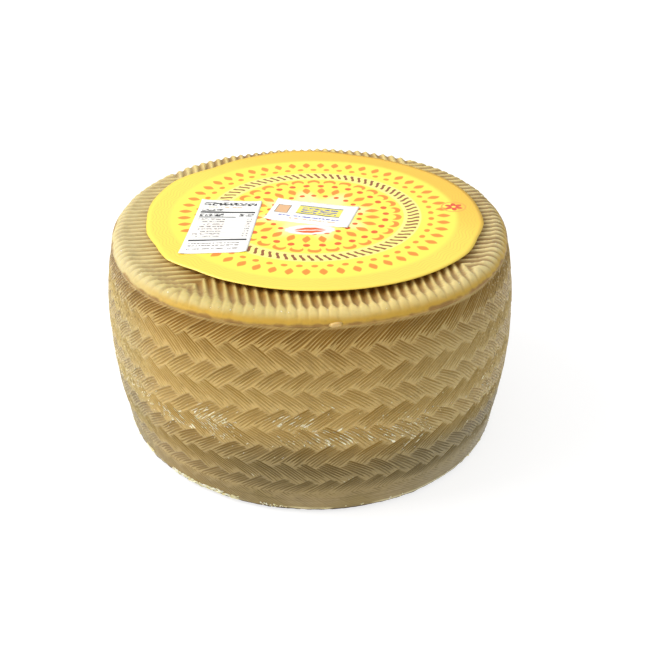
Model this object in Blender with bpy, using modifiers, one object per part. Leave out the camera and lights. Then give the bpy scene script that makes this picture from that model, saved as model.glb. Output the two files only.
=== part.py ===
"""A whole wheel of pressed sheep's-milk cheese, standing on its base.

The side carries the slanting print of the plaited grass band that it was pressed in, and both
faces carry the print of ribbed boards. The top wears a round paper label, with two small paper
stickers on it. Metres, +Z up, with the origin at the middle of the base.
"""

import math

import bmesh
import bpy
from mathutils import Matrix, Vector

MM = 0.001

# The wheel's outline
SHOULDER_RADIUS = 92.8 * MM
BASE_RADIUS = 91.0 * MM
BULGE = 6.4 * MM  # how far the side swells out between shoulder and base
HEIGHT = 99.0 * MM  # from the base to the flat of the top
SHOULDER_ROUND = 5.4 * MM
SHOULDER_FOOT = 20  # degrees above level at which the rolled rim ends
BASE_ROUND = 4.0 * MM
LEDGE_DEPTH = 0.9 * MM  # the plaited print starts this far inside the rolled rim
ROUND_STEPS = 3  # facets of each rounded rim
# Waves round the top and round the base: count, share of the radius, crest in degrees
TOP_LOBES = ((1, 0.0129, -116.7), (2, 0.0130, -93.0), (3, 0.0029, -23.3), (4, 0.0087, -42.2), (5, 0.0031, 16.9))
BASE_LOBES = ((2, 0.0151, -78.0), (3, 0.0076, 41.0))

# The print of the plaited band
BUNDLES = 60  # bundles of grass blades round the wheel
COLUMNS = 2 * BUNDLES  # one ridge and one hollow for each bundle
ROWS = 9
ROW_PITCH = 9.3 * MM
BAND_TOP = HEIGHT - 4.6 * MM
BAND_TURN = -90.8  # degrees, where a ridge meets the top of the first row
BAND_LEAN = 1.29  # bundles that a blade leans across one row
BAND_RELIEF = 1.0 * MM  # depth of the hollow that a bundle leaves
WORN_ROW_RELIEF = 0.4 * MM  # the lowest row is nearly rubbed out
ROW_SPLITS = (0.0, 0.25, 0.75)  # where the mesh divides a row, as shares of it
BUNDLE_DROP = 0.2  # rows that a bundle's end lies below the ridge beside it

# The print of the ribbed boards, in four quarters that meet along the diagonals
RIB_PITCH = 4.1 * MM
RIB_GROOVE_WIDTH = 2.6 * MM
RIB_GROOVE_DEPTH = 1.3 * MM
RIB_RUN_OUT = 4.0 * MM  # length over which a groove fades out at its end
FIRST_RIB = 0.5  # pitches from the middle to the innermost groove
RIB_TURN = 8.3  # degrees that the quarters are turned from the axes
TOP_FIELD_RADIUS = 89.6 * MM
TOP_FIELD_CENTRE = (0.0, 2.0 * MM)  # the board lay a little towards the back
BASE_FIELD_RADIUS = 83.0 * MM  # a plain ring is left round it to stand on
BASE_FIELD_CENTRE = (0.0, 0.0)
CUTTER_RISE = 1.0 * MM  # how far a cutter stands out of the face that it cuts

# The round label
LABEL_CENTRE = (1.6 * MM, 2.1 * MM)
LABEL_RADIUS = 78.3 * MM
LABEL_WAVES = ((2, 0.0127, -63.0), (3, 0.0068, -30.0), (4, 0.0066, 8.0), (5, 0.0070, 20.0), (6, 0.0073, -23.0))
# Corners and flats where the label's edge was cut unevenly: direction in degrees, how far out or in
LABEL_CUTS = ((-164, 1.0 * MM), (-142, 2.0 * MM), (-132, -0.9 * MM), (-32, 0.6 * MM), (-22, -0.7 * MM),
              (-10, 0.7 * MM), (74, -1.0 * MM), (97, 0.7 * MM), (132, -1.4 * MM), (149, 0.8 * MM))
LABEL_CUT_SPREAD = 12.0  # degrees to either side
LABEL_EDGE_LIFT = 0.8 * MM
LABEL_FRONT_LIFT = 0.6 * MM  # the front edge curls up more than the back
LABEL_RIPPLE = 0.25 * MM
LABEL_RINGS = 4
LABEL_SIDES = 90
PAPER = 0.35 * MM
GAP = 0.3 * MM  # between pieces that touch

# The two stickers: centre, width, height, turn in degrees, and how much longer the left side was cut
FACTS_STICKER = ((-40.2 * MM, -11.0 * MM), 29.0 * MM, 57.6 * MM, -5.2, 6.0 * MM)
CENTRE_STICKER = ((0.6 * MM, 3.0 * MM), 40.0 * MM, 23.8 * MM, -15.5, 0.0)
STICKER_CELL = 7.0 * MM  # size of a facet along a sticker

RIND = (0.52, 0.38, 0.16)
LABEL_YELLOW = (0.95, 0.78, 0.10)
STICKER_WHITE = (0.86, 0.86, 0.84)


def new_collection(name):
    """An empty collection in the scene."""
    collection = bpy.data.collections.new(name)
    bpy.context.scene.collection.children.link(collection)
    return collection


def material(name, colour, roughness):
    """A plain Principled material."""
    made = bpy.data.materials.new(name)
    made.use_nodes = True
    shader = made.node_tree.nodes["Principled BSDF"]
    shader.inputs["Base Color"].default_value = (*colour, 1.0)
    shader.inputs["Roughness"].default_value = roughness
    shader.inputs["Metallic"].default_value = 0.0
    return made


def waves(angle, terms):
    """The sum of the waves (count, share, degrees of one crest) at an angle."""
    return sum(share * math.cos(count * (angle - math.radians(crest))) for count, share, crest in terms)


def lobe(angle, z):
    """How much larger than a circle the wheel is at an angle and height."""
    top, base = waves(angle, TOP_LOBES), waves(angle, BASE_LOBES)
    return 1 + base + (top - base) * z / HEIGHT


def side_radius(z):
    """The side's radius at a height, before the relief and the lobes."""
    down = (HEIGHT - z) / HEIGHT
    return (1 - down) * SHOULDER_RADIUS + down * BASE_RADIUS + 4 * BULGE * down * (1 - down)


def rounded_rim(level, rounding, first, last):
    """Points (radius, z) of a rim rounded about that level, between two angles in degrees."""
    middle = side_radius(level) - rounding
    angles = [math.radians(first + (last - first) * i / ROUND_STEPS) for i in range(ROUND_STEPS + 1)]
    return [(middle + rounding * math.cos(a), level + rounding * math.sin(a)) for a in angles]


def wheel_profile():
    """The outline (radius, z) from the edge of the top face down to the edge of the base."""
    shoulder = rounded_rim(HEIGHT - SHOULDER_ROUND, SHOULDER_ROUND, 90, SHOULDER_FOOT)
    base = rounded_rim(BASE_ROUND, BASE_ROUND, 0, -90)
    splits = [row + split for row in range(ROWS) for split in ROW_SPLITS] + [ROWS]
    band = [BAND_TOP - rows_down * ROW_PITCH for rows_down in splits]
    return shoulder + [(side_radius(z), z) for z in band] + base


def turned(name, profile, steps):
    """A profile turned about the Z axis, as a mesh that is open at both ends."""
    mesh = bpy.data.meshes.new(name)
    mesh.from_pydata([(r, 0.0, z) for r, z in profile], [(i, i + 1) for i in range(len(profile) - 1)], [])
    guide = bpy.data.objects.new(name + "_profile", mesh)
    bpy.context.scene.collection.objects.link(guide)
    screw = guide.modifiers.new("turn", "SCREW")
    screw.axis = "Z"
    screw.steps = steps
    screw.render_steps = steps
    screw.merge_threshold = 0.1 * GAP
    screw.use_merge_vertices = True
    bpy.context.view_layer.update()
    made = bpy.data.meshes.new_from_object(guide.evaluated_get(bpy.context.evaluated_depsgraph_get()))
    bpy.data.objects.remove(guide)
    return made


def band_move(column, z):
    """How the print moves a point of the side: columns turned, distance pushed in, distance lowered."""
    rows_down = (BAND_TOP - z) / ROW_PITCH
    if rows_down < -0.01:
        return 2 * BAND_LEAN, 0.0, 0.0
    row = min(int(rows_down + 0.01), ROWS)
    through = rows_down - row
    turn = 2 * BAND_LEAN * (through if row % 2 else 1 - through)
    inside = row < ROWS and through > 0.01
    relief = WORN_ROW_RELIEF if row == ROWS - 1 else BAND_RELIEF
    pushed = relief if inside and column % 2 else 0.0
    at_end = rows_down < 0.01 or row == ROWS
    lowered = 0.0 if at_end or column % 2 == 0 else BUNDLE_DROP * ROW_PITCH
    return turn, pushed + LEDGE_DEPTH * max(0.0, 1 - rows_down), lowered


def print_band(mesh):
    """Slants the columns of the side row by row, and pushes every other one in."""
    step = 2 * math.pi / COLUMNS
    for vertex in mesh.vertices:
        x, y, z = vertex.co
        column = round(math.atan2(y, x) / step)
        turn, pushed, lowered = band_move(column, z)
        angle = (column + turn) * step + math.radians(BAND_TURN)
        radius = (math.hypot(x, y) - pushed) * lobe(angle, z)
        vertex.co = (radius * math.cos(angle), radius * math.sin(angle), z - lowered)


def cap_ends(mesh):
    """Closes the open top and base with one face each."""
    bm = bmesh.new()
    bm.from_mesh(mesh)
    bmesh.ops.holes_fill(bm, edges=[e for e in bm.edges if e.is_boundary], sides=0)
    bmesh.ops.recalc_face_normals(bm, faces=bm.faces)
    bm.to_mesh(mesh)
    bm.free()


def centred(mesh):
    """Shifts the mesh so that its box is centred on the Z axis, and returns the shift."""
    lows = [min(v.co[i] for v in mesh.vertices) for i in range(2)]
    highs = [max(v.co[i] for v in mesh.vertices) for i in range(2)]
    shift = Vector((-(lows[0] + highs[0]) / 2, -(lows[1] + highs[1]) / 2, 0.0))
    mesh.transform(Matrix.Translation(shift))
    return shift


def leg_end(offset, centre, radius):
    """Where a groove along +X at this offset in Y leaves the round field."""
    return centre[0] + math.sqrt(radius**2 - (offset - centre[1]) ** 2)


def corner_groove(bm, offset, centre, radius):
    """An L-shaped prism of V section: two legs that leave the corner (offset, offset) along +X and +Y."""
    rise = 1 + CUTTER_RISE / RIB_GROOVE_DEPTH
    half = RIB_GROOVE_WIDTH / 2 * rise
    along_x = leg_end(offset, centre, radius)
    along_y = leg_end(offset, (centre[1], centre[0]), radius)
    section = ((-half, CUTTER_RISE, 0.0), (0.0, -RIB_GROOVE_DEPTH, RIB_RUN_OUT), (half, CUTTER_RISE, 0.0))
    stations = [
        [bm.verts.new((along_x - back, offset + side, z)) for side, z, back in section],
        [bm.verts.new((offset + side, offset + side, z)) for side, z, back in section],
        [bm.verts.new((offset + side, along_y - back, z)) for side, z, back in section],
    ]
    for first, second in zip(stations, stations[1:]):
        for i in range(3):
            j = (i + 1) % 3
            bm.faces.new((first[i], first[j], second[j], second[i]))
    bm.faces.new(stations[0])
    bm.faces.new(stations[-1])


def rib_cutter(name, field_radius, field_centre, collection):
    """All grooves of one face, as one cutter for a face that looks up at z = 0."""
    bm = bmesh.new()
    for quarter in range(4):
        turn = Matrix.Rotation(math.radians(RIB_TURN + 90 * quarter), 4, "Z")
        centre = turn.inverted() @ Vector((*field_centre, 0.0))
        before = set(bm.verts)
        offset = FIRST_RIB * RIB_PITCH
        room = field_radius - 2 * RIB_RUN_OUT
        while math.hypot(offset - centre.x, offset - centre.y) < room:
            corner_groove(bm, offset, centre, field_radius)
            offset += RIB_PITCH
        bmesh.ops.transform(bm, matrix=turn, verts=[v for v in bm.verts if v not in before])
    bmesh.ops.recalc_face_normals(bm, faces=bm.faces)
    mesh = bpy.data.meshes.new(name)
    bm.to_mesh(mesh)
    bm.free()
    cutter = bpy.data.objects.new(name, mesh)
    cutter.hide_render = True
    cutter.display_type = "WIRE"
    collection.objects.link(cutter)
    return cutter


def cut(target, cutter):
    """Subtracts the cutter, as a modifier that stays."""
    boolean = target.modifiers.new(cutter.name, "BOOLEAN")
    boolean.operation = "DIFFERENCE"
    boolean.solver = "EXACT"
    boolean.object = cutter


def make_wheel(parts, cutters):
    """The cheese itself, and the shift that centred it."""
    mesh = turned("cheese_wheel", wheel_profile(), COLUMNS)
    print_band(mesh)
    cap_ends(mesh)
    shift = centred(mesh)
    mesh.shade_smooth()
    mesh.set_sharp_from_angle(angle=math.radians(30))
    mesh.materials.append(material("rind", RIND, 0.5))
    wheel = bpy.data.objects.new("cheese_wheel", mesh)
    parts.objects.link(wheel)

    top = rib_cutter("top_grooves", TOP_FIELD_RADIUS, TOP_FIELD_CENTRE, cutters)
    top.location = shift + Vector((0.0, 0.0, HEIGHT))
    base = rib_cutter("base_grooves", BASE_FIELD_RADIUS, BASE_FIELD_CENTRE, cutters)
    base.location = shift
    base.rotation_euler = (math.pi, 0.0, 0.0)
    cut(wheel, top)
    cut(wheel, base)
    return shift


def label_lift(x, y):
    """How far the label stands off the ribs at a point measured from its centre."""
    out = math.hypot(x, y) / LABEL_RADIUS
    angle = math.atan2(y, x)
    curl = (LABEL_EDGE_LIFT - LABEL_FRONT_LIFT * math.sin(angle)) * out**3
    ripple = LABEL_RIPPLE * out**2 * (math.cos(5 * angle + 0.6) + 0.6 * math.cos(3 * angle - 1.1))
    return curl + ripple


def label_underside(x, y):
    """The height of the label's lower face at a point measured from its centre."""
    return HEIGHT + GAP + max(0.0, label_lift(x, y))


def thickened(name, mesh, place, colour, parts):
    """A sheet of paper made from an open surface, thickened upwards."""
    mesh.materials.append(material(name + "_paper", colour, 0.6))
    sheet = bpy.data.objects.new(name, mesh)
    sheet.location = place
    solidify = sheet.modifiers.new("paper", "SOLIDIFY")
    solidify.thickness = PAPER
    solidify.offset = 1.0
    parts.objects.link(sheet)
    return sheet


def label_stretch(angle, out):
    """How much larger than a circle the label is at an angle, and less so towards its middle."""
    cuts = 0.0
    for crest, pull in LABEL_CUTS:
        off = abs((math.degrees(angle) - crest + 180) % 360 - 180)
        cuts += pull * max(0.0, 1 - off / LABEL_CUT_SPREAD)
    return 1 + waves(angle, LABEL_WAVES) * out + cuts / LABEL_RADIUS * out**4


def make_label(place, parts):
    """The round label, with its uneven outline and its curling edge."""
    bm = bmesh.new()
    bmesh.ops.create_circle(bm, cap_ends=True, cap_tris=True, segments=LABEL_SIDES, radius=LABEL_RADIUS)
    spokes = [e for e in bm.edges if not e.is_boundary]
    bmesh.ops.subdivide_edges(bm, edges=spokes, cuts=LABEL_RINGS - 1, use_grid_fill=True)
    for vertex in bm.verts:
        x, y, _ = vertex.co
        stretch = label_stretch(math.atan2(y, x), math.hypot(x, y) / LABEL_RADIUS)
        vertex.co = (x * stretch, y * stretch, label_underside(x, y))
    mesh = bpy.data.meshes.new("top_label")
    bm.to_mesh(mesh)
    bm.free()
    thickened("top_label", mesh, place, LABEL_YELLOW, parts)


def make_sticker(name, size, place, parts):
    """A small sticker that follows the label under it, its lower edge cut askew."""
    (x, y), width, height, turn, askew = size
    bm = bmesh.new()
    columns, rows = (max(2, round(side / STICKER_CELL)) for side in (width, height))
    bmesh.ops.create_grid(bm, x_segments=columns, y_segments=rows, size=0.5)
    for vertex in bm.verts:
        right, up, _ = vertex.co
        vertex.co = (width * right, height * up + askew * right * (0.5 - up), 0.0)
    bmesh.ops.rotate(bm, matrix=Matrix.Rotation(math.radians(turn), 3, "Z"), verts=bm.verts)
    bmesh.ops.translate(bm, vec=(x, y, 0.0), verts=bm.verts)
    for vertex in bm.verts:
        under = label_underside(vertex.co.x - LABEL_CENTRE[0], vertex.co.y - LABEL_CENTRE[1])
        vertex.co.z = under + PAPER + GAP
    mesh = bpy.data.meshes.new(name)
    bm.to_mesh(mesh)
    bm.free()
    thickened(name, mesh, place, STICKER_WHITE, parts)


def main():
    """Builds the wheel, its label and its stickers."""
    for thing in list(bpy.data.objects):
        bpy.data.objects.remove(thing)
    parts = new_collection("cheese")
    cutters = new_collection("cutters")
    shift = make_wheel(parts, cutters)
    make_label(shift + Vector((*LABEL_CENTRE, 0.0)), parts)
    make_sticker("facts_sticker", FACTS_STICKER, shift, parts)
    make_sticker("centre_sticker", CENTRE_STICKER, shift, parts)


main()
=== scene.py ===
"""The looks of a whole wheel of pressed sheep's-milk cheese that wears a round paper label.

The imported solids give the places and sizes. Fine meshes stand for them here: the wheel with the print
of its plaited band and ribbed boards, the curling label, two stickers and torn scales of pale wax.
"""

from __future__ import annotations

import functools
import logging
import math
import random
from collections.abc import Sequence
from dataclasses import dataclass, field
from enum import Enum

import bmesh
import bpy
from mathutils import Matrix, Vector, noise


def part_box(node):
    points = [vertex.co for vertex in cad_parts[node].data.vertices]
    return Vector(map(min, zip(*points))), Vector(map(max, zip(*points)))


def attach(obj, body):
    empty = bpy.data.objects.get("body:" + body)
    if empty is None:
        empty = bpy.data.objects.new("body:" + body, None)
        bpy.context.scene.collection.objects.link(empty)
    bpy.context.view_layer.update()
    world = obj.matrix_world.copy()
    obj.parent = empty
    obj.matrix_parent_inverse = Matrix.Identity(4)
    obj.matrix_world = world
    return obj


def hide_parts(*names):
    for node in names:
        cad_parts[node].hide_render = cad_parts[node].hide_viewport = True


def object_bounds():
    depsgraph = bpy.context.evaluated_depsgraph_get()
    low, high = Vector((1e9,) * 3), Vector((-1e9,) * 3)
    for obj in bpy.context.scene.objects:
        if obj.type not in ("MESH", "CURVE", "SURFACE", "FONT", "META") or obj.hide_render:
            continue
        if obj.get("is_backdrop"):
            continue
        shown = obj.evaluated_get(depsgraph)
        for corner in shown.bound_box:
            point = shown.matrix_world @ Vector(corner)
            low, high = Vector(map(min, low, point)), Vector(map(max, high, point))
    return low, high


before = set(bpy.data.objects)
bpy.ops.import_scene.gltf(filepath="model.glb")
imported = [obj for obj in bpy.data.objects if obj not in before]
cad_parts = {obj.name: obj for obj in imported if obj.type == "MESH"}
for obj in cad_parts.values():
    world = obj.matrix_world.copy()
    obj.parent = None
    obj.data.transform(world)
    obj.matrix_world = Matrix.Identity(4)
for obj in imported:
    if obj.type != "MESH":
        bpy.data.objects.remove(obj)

MM = 0.001
BODY = "root"
CAD_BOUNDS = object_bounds()

Pair = tuple[float, float]
Point = tuple[float, float, float]
Colour = tuple[float, float, float]
Lobe = tuple[int, float, float]

log = logging.getLogger("cheese")


def eased(share: float) -> float:
    """A share held between 0 and 1, with a soft start and end."""
    share = min(1.0, max(0.0, share))
    return share * share * (3 - 2 * share)


def lobed(angle: float, lobes: Sequence[Lobe]) -> float:
    """How far an outline stands out at an angle, as a share, by its (count, share, degrees of one crest)."""
    return sum(share * math.cos(count * (angle - math.radians(crest))) for count, share, crest in lobes)


def tone(red: int, green: int, blue: int) -> Colour:
    """A colour given on the usual scale of 0 to 255, as the linear values that a shader takes."""
    shares = (value / 255 for value in (red, green, blue))
    return tuple(s / 12.92 if s <= 0.04045 else ((s + 0.055) / 1.055) ** 2.4 for s in shares)


@dataclass(frozen=True)
class Waver:
    """Smooth unevenness, such as a hand-pressed rind has.

    Attributes:
        height: of a wave, which goes as far down as up.
        length: of a wave, in metres.
        seed: a number that sets this one apart from the others.
    """

    height: float
    length: float
    seed: float

    def at(self, place: Point) -> float:
        """How far it strays at a place."""
        shift = Vector((self.seed, 2.7 * self.seed, -1.3 * self.seed))
        return self.height * noise.noise(Vector(place) / self.length + shift)


# Meshes


@dataclass(frozen=True)
class Station:
    """A point on a line that a mesh is filled from.

    Attributes:
        along: how far along the line it lies, as a share.
        index: its number in the draft.
        spot: its place in the plait's print, for the material.
    """

    along: float
    index: int
    spot: Pair = (0.0, -1.0)


@dataclass
class MeshDraft:
    """Points and faces on their way to becoming one mesh."""

    points: list[Point] = field(default_factory=list)
    hollows: list[float] = field(default_factory=list)
    faces: list[list[int]] = field(default_factory=list)
    spots: list[Pair] = field(default_factory=list)

    def point(self, place: Point, hollow: float = 0.0) -> int:
        """Adds a point.

        Args:
            place: where it lies in the frame.
            hollow: how deep in a groove it lies, from 0 to 1.

        Returns:
            Its number.
        """
        self.points.append(tuple(place))
        self.hollows.append(hollow)
        return len(self.points) - 1

    def face(self, *corners: Station) -> None:
        """Adds a face."""
        self.faces.append([corner.index for corner in corners])
        self.spots.extend(corner.spot for corner in corners)

    def fill(self, first: Sequence[Station], second: Sequence[Station]) -> None:
        """Fills the strip between two lines, which may have unlike numbers of points.

        Args:
            first: the stations of one line, in order.
            second: the stations of the other, in the same direction.
        """
        i = j = 0
        while i < len(first) - 1 or j < len(second) - 1:
            left, right = i < len(first) - 1, j < len(second) - 1
            if left and right and abs(first[i + 1].along - second[j + 1].along) < 1e-6:
                self.face(first[i], first[i + 1], second[j + 1], second[j])
                i, j = i + 1, j + 1
            elif left and (not right or first[i + 1].along < second[j + 1].along):
                self.face(first[i], first[i + 1], second[j])
                i += 1
            else:
                self.face(first[i], second[j + 1], second[j])
                j += 1

    def bridge(self, first: Sequence[Station], second: Sequence[Station]) -> None:
        """Fills the band between two closed rings, whose stations lie along one turn from 0 to 1.

        Args:
            first: the stations of one ring, from any start.
            second: the stations of the other.
        """
        rings = []
        for ring in (first, second):
            turned = sorted(ring, key=lambda station: station.along % 1.0)
            turned = [Station(s.along % 1.0, s.index, s.spot) for s in turned]
            rings.append([*turned, Station(turned[0].along + 1.0, turned[0].index, turned[0].spot)])
        self.fill(*rings)

    def made(self, name: str, material: bpy.types.Material) -> bpy.types.Object:
        """Makes the object, shaded smooth, with its normals pointing out.

        Args:
            name: the object's name.
            material: what it is made of.

        Returns:
            The object, linked to the scene.
        """
        mesh = bpy.data.meshes.new(name)
        mesh.from_pydata(self.points, [], self.faces)
        uv = mesh.uv_layers.new(name="print")
        uv.data.foreach_set("uv", [value for spot in self.spots for value in spot])
        mesh.attributes.new("hollow", "FLOAT", "POINT").data.foreach_set("value", self.hollows)
        bm = bmesh.new()
        bm.from_mesh(mesh)
        bmesh.ops.recalc_face_normals(bm, faces=bm.faces)
        bm.to_mesh(mesh)
        bm.free()
        mesh.shade_smooth()
        mesh.materials.append(material)
        made = bpy.data.objects.new(name, mesh)
        bpy.context.scene.collection.objects.link(made)
        return made


# Materials


@dataclass(frozen=True)
class Fade:
    """A change that comes in softly: none of it at the start, and all of it at the end.

    Attributes:
        start: the measure where it starts.
        end: the measure where it is full, which may be the lower of the two.
        strength: how much there is then.
        sway: how far soft noise moves the place of the change, in the units of the measure.
    """

    start: float
    end: float
    strength: float = 1.0
    sway: float = 0.0


@dataclass(frozen=True)
class Signal:
    """An output socket that can be added, multiplied and compared like a number."""

    sketch: Sketch
    socket: bpy.types.NodeSocket

    def __add__(self, other: Input) -> Signal:
        """The sum."""
        return self.sketch.maths("ADD", self, other)

    def __sub__(self, other: Input) -> Signal:
        """The difference."""
        return self.sketch.maths("SUBTRACT", self, other)

    def __rsub__(self, other: Input) -> Signal:
        """The difference, from a plain number."""
        return self.sketch.maths("SUBTRACT", other, self)

    def __mul__(self, other: Input) -> Signal:
        """The product."""
        return self.sketch.maths("MULTIPLY", self, other)

    def __truediv__(self, other: Input) -> Signal:
        """The quotient."""
        return self.sketch.maths("DIVIDE", self, other)

    __radd__ = __add__
    __rmul__ = __mul__

    def fract(self) -> Signal:
        """What is left above the next lower whole number."""
        return self.sketch.maths("FRACT", self)

    def floor(self) -> Signal:
        """The next lower whole number."""
        return self.sketch.maths("FLOOR", self)

    def size(self) -> Signal:
        """The value without its sign."""
        return self.sketch.maths("ABSOLUTE", self)

    def sine(self) -> Signal:
        """The sine."""
        return self.sketch.maths("SINE", self)

    def least(self, other: Input) -> Signal:
        """The smaller of two values."""
        return self.sketch.maths("MINIMUM", self, other)

    def most(self, other: Input) -> Signal:
        """The larger of two values."""
        return self.sketch.maths("MAXIMUM", self, other)

    def ramp(self, low: float, high: float) -> Signal:
        """A soft step from 0 at the low value to 1 at the high one, or down where low is above high."""
        return self.sketch.ramp(self, low, high)

    def fade(self, fade: Fade, cloud: Signal | None = None) -> Signal:
        """How much of a change there is where this is the measure.

        Args:
            fade: the change.
            cloud: soft noise from 0 to 1 that moves it, where it sways.

        Returns:
            A signal from 0 to the change's strength.
        """
        measure = self if cloud is None else self + (cloud - 0.5) * fade.sway
        share = measure.ramp(fade.start, fade.end)
        return share if fade.strength == 1.0 else share * fade.strength


Input = Signal | float | Colour


class Sketch:
    """A material in the making, with short calls for its nodes."""

    def __init__(self, name: str, roughness: float, subsurface: float = 0.0) -> None:
        """Starts the material.

        Args:
            name: the material's name.
            roughness: of its surface, where no signal takes its place.
            subsurface: how much light goes through it, from 0 to 1.
        """
        self.material = bpy.data.materials.new(name)
        self.material.use_nodes = True
        self.tree = self.material.node_tree
        self.shader = self.tree.nodes["Principled BSDF"]
        self.shader.inputs["Roughness"].default_value = roughness
        if subsurface:
            self.shader.inputs["Subsurface Weight"].default_value = subsurface
            self.shader.inputs["Subsurface Scale"].default_value = 1.0 * MM
            self.shader.inputs["Subsurface Radius"].default_value = (1.6, 1.1, 0.5)

    def put(self, socket: bpy.types.NodeSocket, value: Input) -> None:
        """Feeds a socket.

        Args:
            socket: the input to feed.
            value: a signal, a number or a colour.
        """
        if isinstance(value, Signal):
            self.tree.links.new(value.socket, socket)
        elif isinstance(value, tuple) and socket.type == "RGBA":
            socket.default_value = (*value, 1.0)
        else:
            socket.default_value = value

    def node(self, kind: str, inputs: dict[int | str, Input] | None = None,
             **settings: object) -> bpy.types.Node:
        """Adds a node.

        Args:
            kind: its type, without the prefix that all shader nodes have.
            inputs: what its sockets are fed, by their numbers or names.
            **settings: its properties and their values.

        Returns:
            The node.
        """
        made = self.tree.nodes.new("ShaderNode" + kind)
        for name, value in settings.items():
            setattr(made, name, value)
        for key, value in (inputs or {}).items():
            self.put(made.inputs[key], value)
        return made

    def maths(self, operation: str, *values: Input) -> Signal:
        """Adds one step of arithmetic on the values."""
        return Signal(self, self.node("Math", dict(enumerate(values)), operation=operation).outputs[0])

    def ramp(self, value: Input, low: float, high: float) -> Signal:
        """Adds a soft step between two values, falling where low is above high.

        Args:
            value: the measure.
            low: the measure that gives 0.
            high: the measure that gives 1.

        Returns:
            A signal from 0 to 1.
        """
        falling = low > high
        inputs = {"Value": value, "From Min": min(low, high), "From Max": max(low, high),
                  "To Min": float(falling), "To Max": float(not falling)}
        return Signal(self, self.node("MapRange", inputs, interpolation_type="SMOOTHSTEP").outputs[0])

    def mix(self, share: Input, first: Input, second: Input) -> Signal:
        """Mixes two colours by the share of the second, from 0 to 1."""
        return Signal(self, self.node("Mix", {0: share, 6: first, 7: second}, data_type="RGBA").outputs[2])

    def tint(self, share: Input, colour: Input, by: Input) -> Signal:
        """Multiplies a colour by another.

        Args:
            share: how much of that to do, from 0 to 1.
            colour: the colour.
            by: what its red, green and blue are multiplied by.

        Returns:
            The tinted colour.
        """
        made = self.mix(share, colour, by)
        made.socket.node.blend_type = "MULTIPLY"
        return made

    def blend(self, share: Input, first: Input, second: Input) -> Signal:
        """Mixes two numbers by the share of the second, from 0 to 1."""
        return Signal(self, self.node("Mix", {0: share, 2: first, 3: second}, data_type="FLOAT").outputs[0])

    def place(self) -> Signal:
        """The point on the object, in metres."""
        return Signal(self, self.node("TexCoord").outputs["Object"])

    def spot(self) -> Signal:
        """The point's place in the print."""
        return Signal(self, self.node("UVMap", uv_map="print").outputs[0])

    def attribute(self, name: str) -> Signal:
        """A number that the mesh holds at each point."""
        return Signal(self, self.node("Attribute", attribute_name=name).outputs["Fac"])

    def split(self, vector: Signal) -> tuple[Signal, Signal, Signal]:
        """Takes a vector apart into its three parts."""
        return tuple(Signal(self, socket) for socket in self.node("SeparateXYZ", {0: vector}).outputs)

    def join(self, x: Input, y: Input, z: Input = 0.0) -> Signal:
        """Makes a vector of its three parts."""
        return Signal(self, self.node("CombineXYZ", {0: x, 1: y, 2: z}).outputs[0])

    def turned(self, x: Signal, y: Signal) -> Signal:
        """The angle of a point as seen from the origin, in radians from -pi to pi."""
        return self.maths("ARCTAN2", y, x)

    def distance(self, x: Signal, y: Signal) -> Signal:
        """The distance of a point from the origin."""
        return self.maths("SQRT", x * x + y * y)

    def noise(self, place: Signal, scale: float, detail: float = 2.0) -> Signal:
        """Adds cloudy noise from 0 to 1, with so many waves in a unit of the place."""
        made = self.node("TexNoise", {"Vector": place, "Scale": scale, "Detail": detail})
        return Signal(self, made.outputs["Fac"])

    def streaks(self, u: Signal, v: Signal, waves: Pair, detail: float = 2.0) -> Signal:
        """Noise drawn out along the print, with so many waves in a unit of each direction."""
        return self.noise(self.join(u * waves[0], v * waves[1]), 1.0, detail)

    def draw(self, x: Input, y: Input) -> Signal:
        """Draws a random value from 0 to 1, the same wherever both numbers are."""
        made = self.node("TexWhiteNoise", {"Vector": self.join(x, y)}, noise_dimensions="2D")
        return Signal(self, made.outputs["Value"])

    def bump(self, height: Signal, distance: float) -> None:
        """Adds fine relief to the shader's normal.

        Args:
            height: the relief, from 0 to 1.
            distance: how high it is where the relief is 1, in metres.
        """
        made = self.node("Bump", {"Height": height, "Distance": distance, "Strength": 1.0})
        link = next(iter(self.shader.inputs["Normal"].links), None)
        if link:
            self.tree.links.new(link.from_socket, made.inputs["Normal"])
        self.tree.links.new(made.outputs[0], self.shader.inputs["Normal"])

    def coat(self, weight: float, roughness: float) -> None:
        """Adds a thin clear coat."""
        self.shader.inputs["Coat Weight"].default_value = weight
        self.shader.inputs["Coat Roughness"].default_value = roughness

    def finish(self, colour: Input, roughness: Input | None = None) -> bpy.types.Material:
        """Plugs in what the shader still needs.

        Args:
            colour: of the surface.
            roughness: of the surface, where a signal gives it.

        Returns:
            The finished material.
        """
        self.put(self.shader.inputs["Base Color"], colour)
        if roughness is not None:
            self.put(self.shader.inputs["Roughness"], roughness)
        return self.material


@dataclass(frozen=True)
class BandTone:
    """The band's two colours at one height: of the land between the strokes, and of the strokes."""

    land: Colour
    stroke: Colour


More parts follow.
